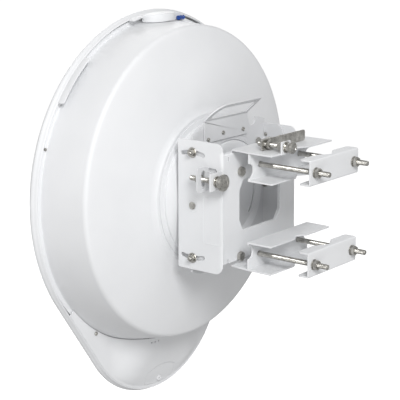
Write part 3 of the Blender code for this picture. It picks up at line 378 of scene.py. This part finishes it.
def radome_tongues():
    """Snap tongues that stand up from the radome's lip, between two angles in degrees."""
    outer = DISH_R - LIP - 0.0004
    for index, (start, end) in enumerate(((35, 53), (127, 145), (76.5, 82)), 1):
        band(f"radome_tongue_{index}", start, end, outer - 0.0018, outer, LIP_Y - 0.0040, -0.2880)


# ---------------------------------------------------------------- dish: rear shell
def shell_back(radius):
    """The bowl's rear face: a paraboloid through the crease."""
    return CREASE_Y + (VERTEX_Y - CREASE_Y) * (1 - (radius / CREASE_R) ** 2)


def rise(radius, y):
    """How far the shell stands above the dish axis: all of CREASE_RISE at the crease, none at rim and seat."""
    up_wall = (y - LIP_Y) / (CREASE_Y - LIP_Y)
    out_from_seat = (radius - SEAT_R) / (CREASE_R - SEAT_R)
    return CREASE_RISE * min(max(up_wall, 0.0), 1.0) * min(max(out_from_seat, 0.0), 1.0)


def turned_rings(profile, steps, lifted=False):
    """Loops round the dish axis through (radius, y) points, raised as the rear shell is if lifted."""
    rings = []
    for radius, y in profile:
        up = rise(radius, y) if lifted else 0.0
        turns = (2 * math.pi * i / steps for i in range(steps))
        rings.append([(radius * math.cos(turn), y, radius * math.sin(turn) + up) for turn in turns])
    return rings


def turned(name, profile, slot, body, stands_for, steps=240, lifted=False, sharp=32.0):
    mesh = to_mesh(name, grid_mesh(turned_rings(profile, steps, lifted), closed=True))
    return piece(name, mesh, slot, body, stands_for, sharp)


def fillet(before, corner, after, radius, steps):
    """Points of a soft corner between two straight runs of a profile."""
    before, corner, after = Vector(before), Vector(corner), Vector(after)
    back, ahead = (before - corner).normalized(), (after - corner).normalized()
    points = []
    for i in range(steps + 1):
        t = i / steps
        start, end = corner + back * radius, corner + ahead * radius
        point = start * (1 - t) ** 2 + corner * 2 * t * (1 - t) + end * t ** 2
        points.append(tuple(point))
    return points


def reflector():
    """The rear shell's section: seat, bowl, crease, side wall and flange, then back along the inside."""
    wall = SHEET
    inner_bowl = [SEAT_R + 0.0040 + (CREASE_R - 0.0075 - SEAT_R - 0.0040) * i / 14 for i in range(15)]
    back = [(r, shell_back(r)) for r in inner_bowl]
    outer = [(HUB_R, SEAT_Y), (SEAT_R - 0.0030, SEAT_Y)]
    outer += fillet((SEAT_R - 0.0030, SEAT_Y), (SEAT_R, SEAT_Y), back[0], 0.0010, 3)
    outer += back
    outer += fillet(back[-1], (CREASE_R - 0.0005, CREASE_Y - 0.0002), (WALL_R, LIP_Y), 0.0060, 8)
    outer += [(WALL_R - 0.0004, -0.2935), (WALL_R - 0.0001, -0.2960), (WALL_R + 0.0004, LIP_Y)]
    outer += fillet((WALL_R + 0.0004, LIP_Y), (WALL_R + 0.0010, FLANGE_Y), (FLANGE_R, FLANGE_Y), 0.0015, 3)
    outer += [(FLANGE_R, FLANGE_Y), (FLANGE_R, FLANGE_Y - wall)]
    inner = [(WALL_R - 0.0015, FLANGE_Y - wall), (WALL_R - wall, LIP_Y)]
    inner += [(CREASE_R - 0.0030, CREASE_Y - 0.0050)]
    inner += [(r - 0.0010, shell_back(r) - wall) for r in reversed(inner_bowl)]
    inner += [(SEAT_R - 0.0010, SEAT_Y - wall), (HUB_R, SEAT_Y - wall)]
    turned("rear_shell", outer + inner, "white_plastic", "dish", ("reflector_shell",), 288, True, 40.0)


def gasket():
    low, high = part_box("rim_gasket")
    rear, front, mid = high.y, low.y, (low.y + high.y) / 2
    inner, outer = WALL_R + 0.0010, high.x
    profile = [(inner, rear - 0.0005), (inner + 0.0005, rear), (outer - 0.0005, rear), (outer, rear - 0.0005),
               (outer - 0.0006, mid), (outer, front + 0.0005), (outer - 0.0005, front), (inner + 0.0005, front),
               (inner, front + 0.0005)]
    turned("sealing_ring", profile, "black_rubber", "dish", ("rim_gasket",))


# ---------------------------------------------------------------- dish: chin cover and door
def smooth_min(a, b, soft):
    """The lower of two heights, blended where they are closer than soft."""
    h = max(soft - abs(a - b), 0.0) / soft
    return min(a, b) - h * h * soft / 4


def pod_height(x, z, from_edge):
    """How far the chin's raised middle stands off the cover's flat rear face."""
    top = POD_TOP_Y - COVER_Y
    climb = (z - POD_FOOT_Z) / (POD_TOP_Z - POD_FOOT_Z) * top
    flat_x, foot_x, edge_flat, edge_round = 0.0160, 0.1180, 0.0040, 0.0180
    off_middle = min(max((abs(x) - flat_x) / (foot_x - flat_x), 0.0), 1.0)
    roof = top * (1 - off_middle * off_middle * (3 - 2 * off_middle))
    height = smooth_min(smooth_min(climb, roof, 0.0120), top, 0.0060)
    edge = min(max((from_edge - edge_flat) / edge_round, 0.0), 1.0)
    edge = math.sqrt(1 - (1 - edge) ** 2)
    return max(height, 0.0) * edge


def shell_radius_at(turn, y):
    """Where the rear shell's side wall is at a polar angle and a height."""
    up = min(max((y - LIP_Y) / (CREASE_Y - LIP_Y), 0.0), 1.0)
    return WALL_R + (CREASE_R - WALL_R) * up + CREASE_RISE * up * math.sin(turn)


def chin_rows():
    """Columns of points along the crescent between the rear shell and the radome's outline."""
    columns, rows = 220, 46
    half = math.radians(49.3)
    off_shell = 0.0015
    table = []
    for i in range(columns + 1):
        turn = -math.pi / 2 - half + 2 * half * i / columns
        outer = outline_point(turn, COVER_INSET - 0.0005)
        inner = shell_radius_at(turn, COVER_Y) + off_shell
        for _ in range(3):
            x, z = inner * math.cos(turn), inner * math.sin(turn)
            y = COVER_Y + pod_height(x, z, outer - inner)
            inner = shell_radius_at(turn, y) + off_shell
        column = []
        for j in range(rows + 1):
            radius = inner + (outer - inner) * (j / rows) ** 0.85
            x, z = radius * math.cos(turn), radius * math.sin(turn)
            column.append(Vector((x, COVER_Y + pod_height(x, z, outer - radius), z)))
        table.append(column)
    return table


def chin_solid(name):
    """The whole chin cover as a closed skin, before its openings are cut."""
    table = chin_rows()
    bm = bmesh.new()
    top = [[bm.verts.new(p) for p in column] for column in table]
    low = [[bm.verts.new(p - Vector((0, SHEET, 0))) for p in column] for column in table]
    last_i, last_j = len(table) - 1, len(table[0]) - 1
    for i in range(last_i):
        for j in range(last_j):
            bm.faces.new((top[i][j], top[i + 1][j], top[i + 1][j + 1], top[i][j + 1]))
            bm.faces.new((low[i][j], low[i][j + 1], low[i + 1][j + 1], low[i + 1][j]))
        for j in (0, last_j):
            bm.faces.new((top[i][j], top[i + 1][j], low[i + 1][j], low[i][j]))
    for i in (0, last_i):
        for j in range(last_j):
            bm.faces.new((top[i][j], top[i][j + 1], low[i][j + 1], low[i][j]))
    return to_mesh(name, bm)


def prism(name, outline, low, high):
    """An outline of (x, z) points between two values of y."""
    return to_mesh(name, grid_mesh([[(x, y, z) for x, z in outline] for y in (low, high)]))


def arc(centre, radius, start, end, steps):
    """Points of an arc between two angles in degrees."""
    angles = [math.radians(start + (end - start) * i / steps) for i in range(steps + 1)]
    return [(centre[0] + radius * math.cos(a), centre[1] + radius * math.sin(a)) for a in angles]


def door_outline(inset):
    """The service door's edge, moved in by inset: two arcs with straight sides between them."""
    top_full = 0.0700
    low_r = CHIN_R - COVER_INSET - 0.0040 - inset
    top_r = top_full - inset
    low_side = math.degrees(math.asin((DOOR_X - inset) / low_r))
    top_side = math.degrees(math.asin((DOOR_X - inset) / top_r))
    low = arc((0, -CHIN_DROP), low_r, 270 - low_side, 270 + low_side, 24)
    return low + arc((0, DOOR_TOP - top_full), top_r, 90 - top_side, 90 + top_side, 24)


def boolean(mesh, others, operation):
    """The mesh cut by, or kept within, the others."""
    base = bpy.data.objects.new("base", mesh)
    bpy.context.scene.collection.objects.link(base)
    tools = []
    for other in others:
        tool = bpy.data.objects.new("tool", other)
        bpy.context.scene.collection.objects.link(tool)
        tools.append(tool)
        modifier = base.modifiers.new("boolean", "BOOLEAN")
        modifier.operation = operation
        modifier.solver = "EXACT"
        modifier.object = tool
    bpy.context.view_layer.update()
    result = bpy.data.meshes.new_from_object(base.evaluated_get(bpy.context.evaluated_depsgraph_get()))
    for obj in [base, *tools]:
        bpy.data.objects.remove(obj)
    return result


def chin():
    """The chin cover with its openings, and the service door cut from the same skin."""
    cutters = [prism("door_hole", door_outline(-0.0004), *CUT)]
    low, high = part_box("status_lights")
    for x in (high.x - 0.0020, (low.x + high.x) / 2, low.x + 0.0020):
        cutters.append(prism("light_hole", arc((x, (low.z + high.z) / 2), 0.0015, 0, 345, 23), *CUT))
    slot = arc((0, 0), 0.2632, 231, 247, 20) + arc((0, 0), 0.2622, 247, 231, 20)
    cutters.append(prism("pod_slot", slot, *CUT))
    piece("chin_cover", boolean(chin_solid("chin_cover"), cutters, "DIFFERENCE"), "white_plastic", "dish",
          ("chin_rear_cover",), 40.0)
    low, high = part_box("door_latch")
    latch_z = high.z - (high.x - low.x) / 2
    hole = prism("latch_hole", arc((0, latch_z), 0.0052, 0, 350, 35), *CUT)
    door = boolean(chin_solid("door"), [prism("door_edge", door_outline(0.0), *CUT)], "INTERSECT")
    piece("service_door", boolean(door, [hole], "DIFFERENCE"), "white_plastic", "cable_door", ("cable_door",),
          40.0)


# ---------------------------------------------------------------- fasteners
M8_R, M8_PITCH, M8_FLAT, M8_BORE, M8_TALL = 0.0040, 0.00125, 0.0130, 0.00425, 0.0053
M6_R, M6_PITCH, M6_FLAT, M6_BORE = 0.0030, 0.0010, 0.0100, 0.0031
AXES = {                                        # local (u, v, t) to world: t runs along the axis
    "X": Matrix(((0, 0, 1), (1, 0, 0), (0, 1, 0))),
    "Y": Matrix(((0, 1, 0), (0, 0, 1), (1, 0, 0))),
    "Z": Matrix(((1, 0, 0), (0, 1, 0), (0, 0, 1))),
}


def add_round(bm, profile, steps, closed=False):
    """A body of revolution: (radius, t) points along it, or round a ring's section if closed."""
    loops = [[(r * math.cos(2 * math.pi * i / steps), r * math.sin(2 * math.pi * i / steps), t)
              for i in range(steps)] for r, t in profile]
    add_loops(bm, loops, closed)


def add_hex(bm, start, end, flat, bore=0.0):
    """A hexagon with chamfered corners, with a bore if it is a nut."""
    low, high = min(start, end), max(start, end)
    face, steps = flat / 2 * 0.95, 72
    section = [(face, low, False), (None, low, True), (None, high, True), (face, high, False)]
    if bore:
        section = [(bore, low + 0.0004, False), (bore + 0.0004, low, False)] + section
        section += [(bore + 0.0004, high, False), (bore, high - 0.0004, False)]
    loops = []
    for radius, t, is_edge in section:
        loop = []
        for i in range(steps):
            a = 2 * math.pi * i / steps
            away = (a % (math.pi / 3)) - math.pi / 6
            r, height = radius, t
            if is_edge:
                r = flat / 2 / math.cos(away)
                slope = (r - face) * math.tan(math.radians(30))
                height = t + slope if t == low else t - slope
            loop.append((r * math.cos(a), r * math.sin(a), height))
        loops.append(loop)
    add_loops(bm, loops, bool(bore))


def add_thread(bm, start, end, radius, pitch, steps=20):
    """A screw thread with its crests on a helix, and both ends chamfered."""
    low, high = min(start, end), max(start, end)
    rows = max(4, int((high - low) / pitch * 4))
    depth = pitch * 0.5
    loops = []
    for k in range(rows + 1):
        t = low + (high - low) * k / rows
        chamfer = min(1.0, min(t - low, high - t) / 0.0010)
        loop = []
        for i in range(steps):
            a = 2 * math.pi * i / steps
            phase = (t / pitch - i / steps) % 1.0
            r = radius - depth * abs(2 * phase - 1) - (1 - chamfer) * 0.0008
            loop.append((r * math.cos(a), r * math.sin(a), t))
        loops.append(loop)
    add_loops(bm, loops, False)


def add_washer(bm, start, end, radius, bore):
    """A flat ring with soft outer edges."""
    low, high = min(start, end), max(start, end)
    soft = min(0.0003, (high - low) / 3)
    add_round(bm, [(bore, low), (radius - soft, low), (radius, low + soft), (radius, high - soft),
                   (radius - soft, high), (bore, high)], 48, True)


def fastener(name, node, axis, centre, build):
    """A piece that stands for a fastener's node: build fills it in along the axis through centre."""
    bm = bmesh.new()
    build(bm)
    bmesh.ops.transform(bm, matrix=Matrix.Translation(centre) @ AXES[axis].to_4x4(), verts=bm.verts[:])
    piece(name, to_mesh(name, bm), "zinc_steel", body_of_node(node), (node,), 30.0)


def middle(node, axis):
    """Centre of a node's box, with the coordinate along the axis left at 0, and its extent along the axis."""
    low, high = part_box(node)
    index = "XYZ".index(axis)
    centre = (low + high) / 2
    centre[index] = 0.0
    return centre, low[index], high[index]


def outward(low, high):
    """The side of the middle that a fastener is on, and its outer and inner ends."""
    return (1.0, high, low) if low > 0 else (-1.0, low, high)


def clamp_hardware():
    """Clamp bolts with a plain shank near the head, and a washer, a spring washer and a nut on each clamp."""
    for i in range(1, 5):
        centre, low, high = middle(f"clamp_bolt_{i}", "Y")

        def rod(bm):
            add_hex(bm, low, low + M8_TALL, M8_FLAT)
            add_round(bm, [(0.0039, low + 0.0050), (0.0039, low + 0.0330)], 28)
            add_thread(bm, low + 0.0325, high, M8_R, M8_PITCH, 24)

        fastener(f"clamp_rod_{i}", f"clamp_bolt_{i}", "Y", centre, rod)
    for place in ("upper", "lower"):
        for i in (1, 2):
            node = f"clamp_nut_{place}_{i}"
            centre, low, high = middle(node, "Y")

            def nut(bm):
                add_washer(bm, low, low + 0.0012, 0.0078, M8_BORE)
                add_round(bm, [(0.0043, low + 0.0013), (0.0066, low + 0.0013), (0.0068, low + 0.0020),
                               (0.0066, low + 0.0026), (0.0043, low + 0.0026)], 40, True)
                add_hex(bm, low + 0.0027, high, M8_FLAT, M8_BORE)

            fastener(f"{place}_clamp_nut_{i}", node, "Y", centre, nut)


def yoke_hardware():
    """Bolts of the yoke's web, of the dish bracket and of the cheeks, and the pins that the dish tilts on."""
    for i in range(1, 5):
        centre, low, high = middle(f"yoke_web_bolt_{i}", "Y")
        web_back, web_front = YOKE_BACK + GAP, YOKE_BACK - 2 * SHEET - 2 * GAP

        def web_bolt(bm):
            add_hex(bm, high - M8_TALL, high, M8_FLAT)
            add_washer(bm, web_back, web_back + 0.0008, 0.0066, 0.0038)
            add_round(bm, [(M8_R, high - 0.0045), (M8_R, web_front + GAP)], 28)
            add_hex(bm, web_front - 0.0064, web_front, M8_FLAT)
            add_thread(bm, low, web_front - 0.0060, M8_R, M8_PITCH)

        fastener(f"web_bolt_{i}", f"yoke_web_bolt_{i}", "Y", centre, web_bolt)
        centre, low, high = middle(f"bracket_screw_{i}", "Y")

        def bracket_bolt(bm):
            add_hex(bm, high - 0.0038, high, M6_FLAT)
            add_thread(bm, low, high - 0.0030, M6_R, M6_PITCH)

        fastener(f"hub_bolt_{i}", f"bracket_screw_{i}", "Y", centre, bracket_bolt)
        centre, low, high = middle(f"elevation_lock_bolt_{i}", "X")
        sign, outer, inner = outward(low, high)

        def lock(bm):
            face = sign * (YOKE_X + GAP)
            add_washer(bm, face, face + sign * 0.0014, 0.0078, M6_BORE)
            add_hex(bm, face + sign * 0.0015, face + sign * 0.0061, M6_FLAT, M6_BORE)
            add_thread(bm, inner, outer, M6_R, M6_PITCH)

        fastener(f"lock_bolt_{i}", f"elevation_lock_bolt_{i}", "X", centre, lock)
    for i in (1, 2):
        node = f"elevation_pivot_pin_{i}"
        centre, low, high = middle(node, "X")
        sign, outer, inner = outward(low, high)

        def pin(bm):
            add_round(bm, [(M8_R, inner), (M8_R, outer - sign * 0.0018), (0.0054, outer - sign * 0.0018),
                           (0.0058, outer - sign * 0.0013), (0.0056, outer - sign * 0.0006),
                           (0.0044, outer - sign * 0.0001), (0.0020, outer)], 40)

        fastener(f"pivot_rivet_{i}", node, "X", centre, pin)


def adjusting_screw(name, node, knob_r, knob_t, tab_low, tab_high):
    """The screw with its collar nut before its tab, and washer, spacer and knob behind it."""
    centre, low, high = middle(node, "Y")
    bore, washer_r = 0.0039, 0.0085

    def screw(bm):
        add_thread(bm, low, tab_low - 0.0080, M8_R, M8_PITCH, 24)
        add_round(bm, [(0.0036, tab_low - 0.0085), (M8_R, tab_low - 0.0080), (M8_R, high - 0.0010)], 28)
        add_hex(bm, tab_low - 0.0084, tab_low - 0.0020, M8_FLAT, bore)
        add_washer(bm, tab_low - 0.0018, tab_low - GAP, washer_r, bore)
        add_washer(bm, tab_high + GAP, tab_high + GAP + 0.0018, washer_r, bore)
        add_washer(bm, tab_high + 0.0022, high - knob_t - 0.0008, 0.0062, bore)
        crown = high - knob_t
        add_round(bm, [(0.0035, crown - 0.0006), (knob_r - 0.0016, crown - 0.0006),
                       (knob_r - 0.0006, crown - 0.0002), (knob_r, crown + 0.0008), (knob_r, high - 0.0014),
                       (knob_r - 0.0004, high - 0.0006), (knob_r - 0.0014, high), (knob_r * 0.62, high),
                       (knob_r * 0.58, high - 0.0004), (0.0010, high - 0.0004)], 64)

    fastener(name, node, "Y", centre, screw)


def adjusters():
    adjusting_screw("elevation_adjuster", "elevation_screw", 0.0125, 0.0050, YOKE_BACK - SHEET, YOKE_BACK)
    adjusting_screw("azimuth_adjuster", "azimuth_screw", 0.0086, 0.0050, *AZIMUTH_TAB)
    for name, node in (("elevation_lug_nut", "elevation_nut"), ("azimuth_arm_nut_1", "azimuth_screw_nut_1"),
                       ("azimuth_arm_nut_2", "azimuth_screw_nut_2")):
        centre, low, high = middle(node, "Y")
        fastener(name, node, "Y", centre, lambda bm: add_hex(bm, low, high, M8_FLAT, M8_BORE))


def azimuth_fasteners():
    """The bolts that the yoke turns on, and the one that the azimuth screw's arm pushes."""
    for node, name, radius, flat, head in (("azimuth_pivot_bolt_1", "pivot_bolt_upper", M8_R, M8_FLAT, 0.0050),
                                           ("azimuth_pivot_bolt_2", "pivot_bolt_lower", M8_R, M8_FLAT, 0.0050),
                                           ("azimuth_drive_bolt", "drive_bolt", M6_R, M6_FLAT, 0.0040)):
        centre, low, high = middle(node, "Z")
        sign, outer, inner = outward(low, high)
        face = sign * BRACKET_Z

        def bolt(bm):
            add_hex(bm, outer, outer - sign * head, flat)
            add_round(bm, [(radius, outer - sign * head * 0.8), (radius, face)], 28)
            add_hex(bm, face - sign * 0.0002, face - sign * (flat / 2 - 0.0003), flat)
            add_thread(bm, face - sign * 0.0040, inner, radius, M8_PITCH)

        fastener(name, node, "Z", centre, bolt)


def pan_head(bm, back, radius, length):
    """A pan head whose back is at t = back, with a round recess, and a thread towards -Y."""
    add_round(bm, [(radius * 0.45, back - 0.0008), (radius * 0.55, back - 0.0002),
                   (radius * 0.75, back - 0.0002), (radius * 0.93, back - 0.0007), (radius, back - 0.0014),
                   (radius, back - 0.0022)], 32)
    add_thread(bm, back - 0.0020 - length, back - 0.0018, 0.0014, 0.0006, 14)


def small_screws():
    for node, name, radius, length in (("handle_screw_1", "handle_bolt_1", 0.0032, 0.0048),
                                       ("handle_screw_2", "handle_bolt_2", 0.0032, 0.0048),
                                       ("handle_screw_3", "handle_bolt_3", 0.0032, 0.0048),
                                       ("rim_screw", "rim_bolt_1", 0.0024, 0.0006),
                                       ("chin_screw", "chin_bolt_1", 0.0032, 0.0024)):
        centre, _, high = middle(node, "Y")
        fastener(name, node, "Y", centre, lambda bm: pan_head(bm, high, radius, length))


# ---------------------------------------------------------------- hub, sheet metal and small parts
def hub():
    """The cup between shell and bracket, with its slotted rear disc, and the square plate round it."""
    low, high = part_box("hub_adapter")
    front = WEB_Y - SHEET - GAP
    disc_front = high.y - 0.0030
    profile = [(0.0820, high.y), (0.0828, high.y - 0.0008), (0.0830, front - 0.0002), (0.0868, front - 0.0002),
               (0.0872, -0.1650), (0.0880, -0.1800), (0.0886, -0.1826), (0.0900, -0.1838), (0.1060, -0.1903),
               (0.1070, -0.1912), (0.1072, -0.1938), (0.1080, -0.1942), (0.1152, -0.1942), (0.1160, -0.1946),
               (0.1160, low.y), (0.0740, low.y), (0.0740, disc_front), (0.0040, disc_front),
               (0.0040, high.y), (0.0650, high.y), (0.0660, high.y - 0.0006), (0.0680, high.y - 0.0006),
               (0.0690, high.y)]
    cup = to_mesh("hub_cup", grid_mesh(turned_rings(profile, 200), closed=True))
    slots = []
    for side in (0, 180):
        edge = arc((0, 0), 0.0622, side - 38, side + 38, 40) + arc((0, 0), 0.0598, side + 38, side - 38, 40)
        slots.append(prism("hub_slot", edge, high.y - 0.0200, high.y + 0.0100))
    piece("hub_cup", boolean(cup, slots, "DIFFERENCE"), "white_painted_metal", "dish", ("hub_adapter",))
    half, radius, inner_r = 0.0860, 0.0150, 0.0835
    outline = []
    for u, v, start in ((1, 1, 0), (-1, 1, 90), (-1, -1, 180), (1, -1, 270)):
        outline += arc((u * (half - radius), v * (half - radius)), radius, start, start + 90, 10)
    rows = [[(u * (1 - inset), y, v * (1 - inset)) for u, v in outline]
            for inset, y in ((0.0, PLATE_Y), (0.0, front - 0.0008), (0.009, front))]
    for y in (front, PLATE_Y):
        rows.append([(inner_r * u / math.hypot(u, v), y, inner_r * v / math.hypot(u, v)) for u, v in outline])
    piece("hub_plate", to_mesh("hub_plate", grid_mesh(rows, closed=True)), "white_painted_metal", "dish")


def near(value, target):
    return abs(value - target) < 0.00002


def sheet_metal():
    """The folded parts. The yoke bends between web and cheeks, and each clamp along its back."""
    refined("yoke_body", "elevation_yoke", "white_painted_metal", 0.0004,
            lambda p, q: near(abs(p.x), YOKE_X) and near(p.x, q.x) and near(p.y, YOKE_BACK)
            and near(q.y, YOKE_BACK), 0.0072)
    for name, node, slot, width in (("dish_frame", "dish_bracket", "white_painted_metal", 0.0004),
                                    ("turning_channel", "azimuth_channel", "white_painted_metal", 0.0004),
                                    ("lifting_handle", "carry_handle", "white_painted_metal", 0.0007),
                                    ("arm_plate", "azimuth_arm", "zinc_steel", 0.0004)):
        refined(name, node, slot, width)
    for place in ("upper", "lower"):
        refined(f"{place}_mast_bracket", f"mast_bracket_{place}", "white_painted_metal", 0.0004)
        low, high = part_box(f"clamp_{place}")
        refined(f"{place}_mast_clamp", f"clamp_{place}", "white_painted_metal", 0.0004,
                lambda p, q: near(p.y, CLAMP_BACK) and near(q.y, CLAMP_BACK) and near(p.z, q.z)
                and (near(p.z, low.z) or near(p.z, high.z)), 0.0024)


def bead(name, path, normal, width, height, body):
    """A low pressed bead along a closed path on a flat sheet."""
    count = len(path)
    rows = []
    for i, point in enumerate(path):
        along = (path[(i + 1) % count] - path[i - 1]).normalized()
        aside = along.cross(normal)
        rows.append([point + aside * (width * math.cos(a)) + normal * (height * math.sin(a))
                     for a in (math.radians(d) for d in (0, 30, 60, 90, 120, 150, 180, 270))])
    piece(name, to_mesh(name, grid_mesh(rows, closed=True)), "white_painted_metal", body, (), 60.0)


def round_rect(low, high, radius):
    """Points round a rectangle with rounded corners, from its lowest and highest corner."""
    (u0, v0), (u1, v1) = low, high
    points = []
    for u, v, start in ((u1 - radius, v1 - radius, 0), (u0 + radius, v1 - radius, 90),
                        (u0 + radius, v0 + radius, 180), (u1 - radius, v0 + radius, 270)):
        points += arc((u, v), radius, start, start + 90, 8)
    return points


def pressings():
    """Beads pressed in the yoke's cheeks: a panel's edge, and a ring round the tilt axis."""
    panel_outline = round_rect((-0.1310, -0.0540), (-0.1000, 0.0170), 0.0030)
    ring_outline = arc((PIVOT_Y, 0.0), 0.0098, 0, 350, 35)
    for index, side in enumerate((-1, 1), 1):
        normal, face = Vector((side, 0, 0)), side * YOKE_X
        panel = [Vector((face, y, z)) for y, z in panel_outline]
        bead(f"cheek_panel_{index}", panel, normal, 0.0007, 0.00035, "yoke")
        ring = [Vector((face, y, z)) for y, z in ring_outline]
        bead(f"cheek_ring_{index}", ring, normal, 0.0008, 0.0003, "yoke")


def web_arcs():
    """Two pressed arcs round the hub on the dish bracket's web."""
    for index, (radius, start, end) in enumerate(((0.0925, 62, 118), (0.1010, 64, 116)), 1):
        outline = arc((0, 0), radius + 0.0006, start, end, 30) + arc((0, 0), radius - 0.0006, end, start, 30)
        path = [Vector((x, WEB_Y, z)) for x, z in outline]
        bead(f"web_arc_{index}", path, Vector((0, 1, 0)), 0.0005, 0.0003, "dish")


def small_parts():
    """Mouldings, and what is inside the chin."""
    refined("level_cover", "level_housing", "white_plastic", 0.0010, segments=3)
    refined("latch_knob", "door_latch", "white_plastic", 0.0003)
    refined("data_socket", "ethernet_jack", "zinc_steel", 0.0003)
    refined("fibre_socket", "fibre_cage", "zinc_steel", 0.0002)
    refined("finned_sink", "heat_sink", "cast_aluminium", 0.0002)
    refined("circuit", "main_board", "circuit_board", 0.0002)
    refined("light_pipes", "status_lights", "dark_plastic", 0.0003)


def level():
    """The level's blue vial, with its two end caps and a ring round its middle."""
    low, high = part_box("level_vial")
    centre = (low + high) / 2
    radius, half = (high.z - low.z) / 2, (high.x - low.x) / 2
    bm = bmesh.new()
    add_round(bm, [(radius * 0.5, -half), (radius * 0.85, -half + 0.0003), (radius, -half + 0.0012),
                   (radius, -half + 0.0022), (radius * 0.93, -half + 0.0024), (radius * 0.93, -0.0012),
                   (radius * 0.98, -0.0010), (radius * 0.98, -0.0006), (radius * 0.93, -0.0004),
                   (radius * 0.93, half - 0.0024), (radius, half - 0.0022), (radius, half - 0.0012),
                   (radius * 0.85, half - 0.0003), (radius * 0.5, half)], 40)
    bmesh.ops.transform(bm, matrix=Matrix.Translation(centre) @ AXES["X"].to_4x4(), verts=bm.verts[:])
    piece("level_tube", to_mesh("level_tube", bm), "blue_vial", "dish", ("level_vial",))


# ---------------------------------------------------------------- assembly
radome()
radome_tongues()
reflector()
gasket()
chin()
hub()
sheet_metal()
pressings()
web_arcs()
clamp_hardware()
yoke_hardware()
adjusters()
azimuth_fasteners()
small_screws()
small_parts()
level()
# The dish bracket, its handle and its arcs take the darker copy of the white paint: painted shade, not a paint
# of their own.
for name in ("dish_frame", "lifting_handle", "web_arc_1", "web_arc_2"):
    bpy.data.objects[name].data.materials[0] = PAINT_WITH_PAINTED_SHADE
for name, material in (("feed_tube", CAST), ("subreflector", WHITE)):      # CAD nodes that stay as they are
    frame["nodes"][name].data.materials.clear()
    frame["nodes"][name].data.materials.append(material)


# ---------------------------------------------------------------- studio
FLOOR_DROP = 0.45               # floor under the object's lowest point
FLOOR_R, CURVE_R = 4.0, 2.0     # flat part of the floor, and the curve up to the wall
LOOK_AT = (0.0, -0.2, 0.0)


def stage_material():
    """A pale matt surface that also glows, so that the backdrop is even."""
    material, tree, shader, place = start_material("studio_floor")
    cloud = noise(tree, place, 2.0, 3.0)
    tree.links.new(ramp(tree, cloud, ((0.3, (0.93, 0.93, 0.93)), (0.7, (0.95, 0.95, 0.95)))),
                   shader.inputs["Base Color"])
    shader.inputs["Roughness"].default_value = 0.9
    shader.inputs["Emission Color"].default_value = (1.0, 1.0, 1.0, 1.0)
    shader.inputs["Emission Strength"].default_value = 0.55
    return material


def studio():
    """A round floor that curves up into a wall on every side, and an even white world."""
    floor_z, steps = CAD_LOW.z - FLOOR_DROP, 64
    profile = [(2.0, 0.0), (FLOOR_R, 0.0)]
    profile += [(FLOOR_R + CURVE_R * math.sin(a), CURVE_R - CURVE_R * math.cos(a))
                for a in (0.2, 0.5, 0.8, 1.1, 1.4, math.pi / 2)]
    profile += [(FLOOR_R + CURVE_R, 5.0), (FLOOR_R + CURVE_R, 9.0)]
    bm = bmesh.new()
    centre = bm.verts.new((0, 0, floor_z))
    turns = [2 * math.pi * i / steps for i in range(steps)]
    loops = [[bm.verts.new((r * math.cos(turn), r * math.sin(turn), floor_z + h)) for turn in turns]
             for r, h in profile]
    for i in range(steps):
        j = (i + 1) % steps
        bm.faces.new((centre, loops[0][i], loops[0][j]))
        for inner, outer in zip(loops, loops[1:]):
            bm.faces.new((inner[i], outer[i], outer[j], inner[j]))
    mesh = bpy.data.meshes.new("studio_floor")
    bm.to_mesh(mesh)
    bm.free()
    mesh.materials.append(stage_material())
    mesh.shade_smooth()
    obj = bpy.data.objects.new("studio_floor", mesh)
    bpy.context.scene.collection.objects.link(obj)
    obj.visible_diffuse = False
    obj.visible_glossy = False
    world = bpy.context.scene.world or bpy.data.worlds.new("studio")
    bpy.context.scene.world = world
    world.use_nodes = True
    background = world.node_tree.nodes["Background"]
    background.inputs["Color"].default_value = (1.0, 1.0, 1.0, 1.0)
    background.inputs["Strength"].default_value = 0.45


def lamp(name, place, target, size, power):
    """A round area light of a size in metres and a power in watts."""
    data = bpy.data.lights.new(name, "AREA")
    data.shape = "DISK"
    data.size = size
    data.energy = power
    obj = bpy.data.objects.new(name, data)
    obj.location = place
    obj.rotation_mode = "QUATERNION"
    obj.rotation_quaternion = (Vector(target) - Vector(place)).to_track_quat("-Z", "Y")
    bpy.context.scene.collection.objects.link(obj)


def camera():
    """The camera fitted to the photograph: its lens, its place and its angles round the mast."""
    data = bpy.data.cameras.new("camera")
    data.sensor_width = 36.0
    data.lens = 124.77
    data.clip_start = 0.05
    data.clip_end = 60.0
    obj = bpy.data.objects.new("camera", data)
    azimuth, elevation = math.radians(128.33), math.radians(13.41)
    back = Vector((math.sin(azimuth) * math.cos(elevation), -math.cos(azimuth) * math.cos(elevation),
                   math.sin(elevation)))
    obj.location = (1.64886, 1.09260, 0.48304)
    obj.rotation_mode = "QUATERNION"
    obj.rotation_quaternion = (-back).to_track_quat("-Z", "Y")
    bpy.context.scene.collection.objects.link(obj)
    bpy.context.scene.camera = obj


bpy.context.scene.view_settings.view_transform = "Standard"
studio()
lamp("key", (1.75, 1.85, 1.7), LOOK_AT, 1.1, 64.0)
lamp("side", (2.6, -0.6, 1.2), LOOK_AT, 1.6, 5.0)
lamp("low", (1.5, 1.5, -0.62), (0.0, -0.2, -0.1), 1.0, 9.0)
lamp("front", (-1.6, -2.6, 1.4), LOOK_AT, 2.2, 34.0)
camera()
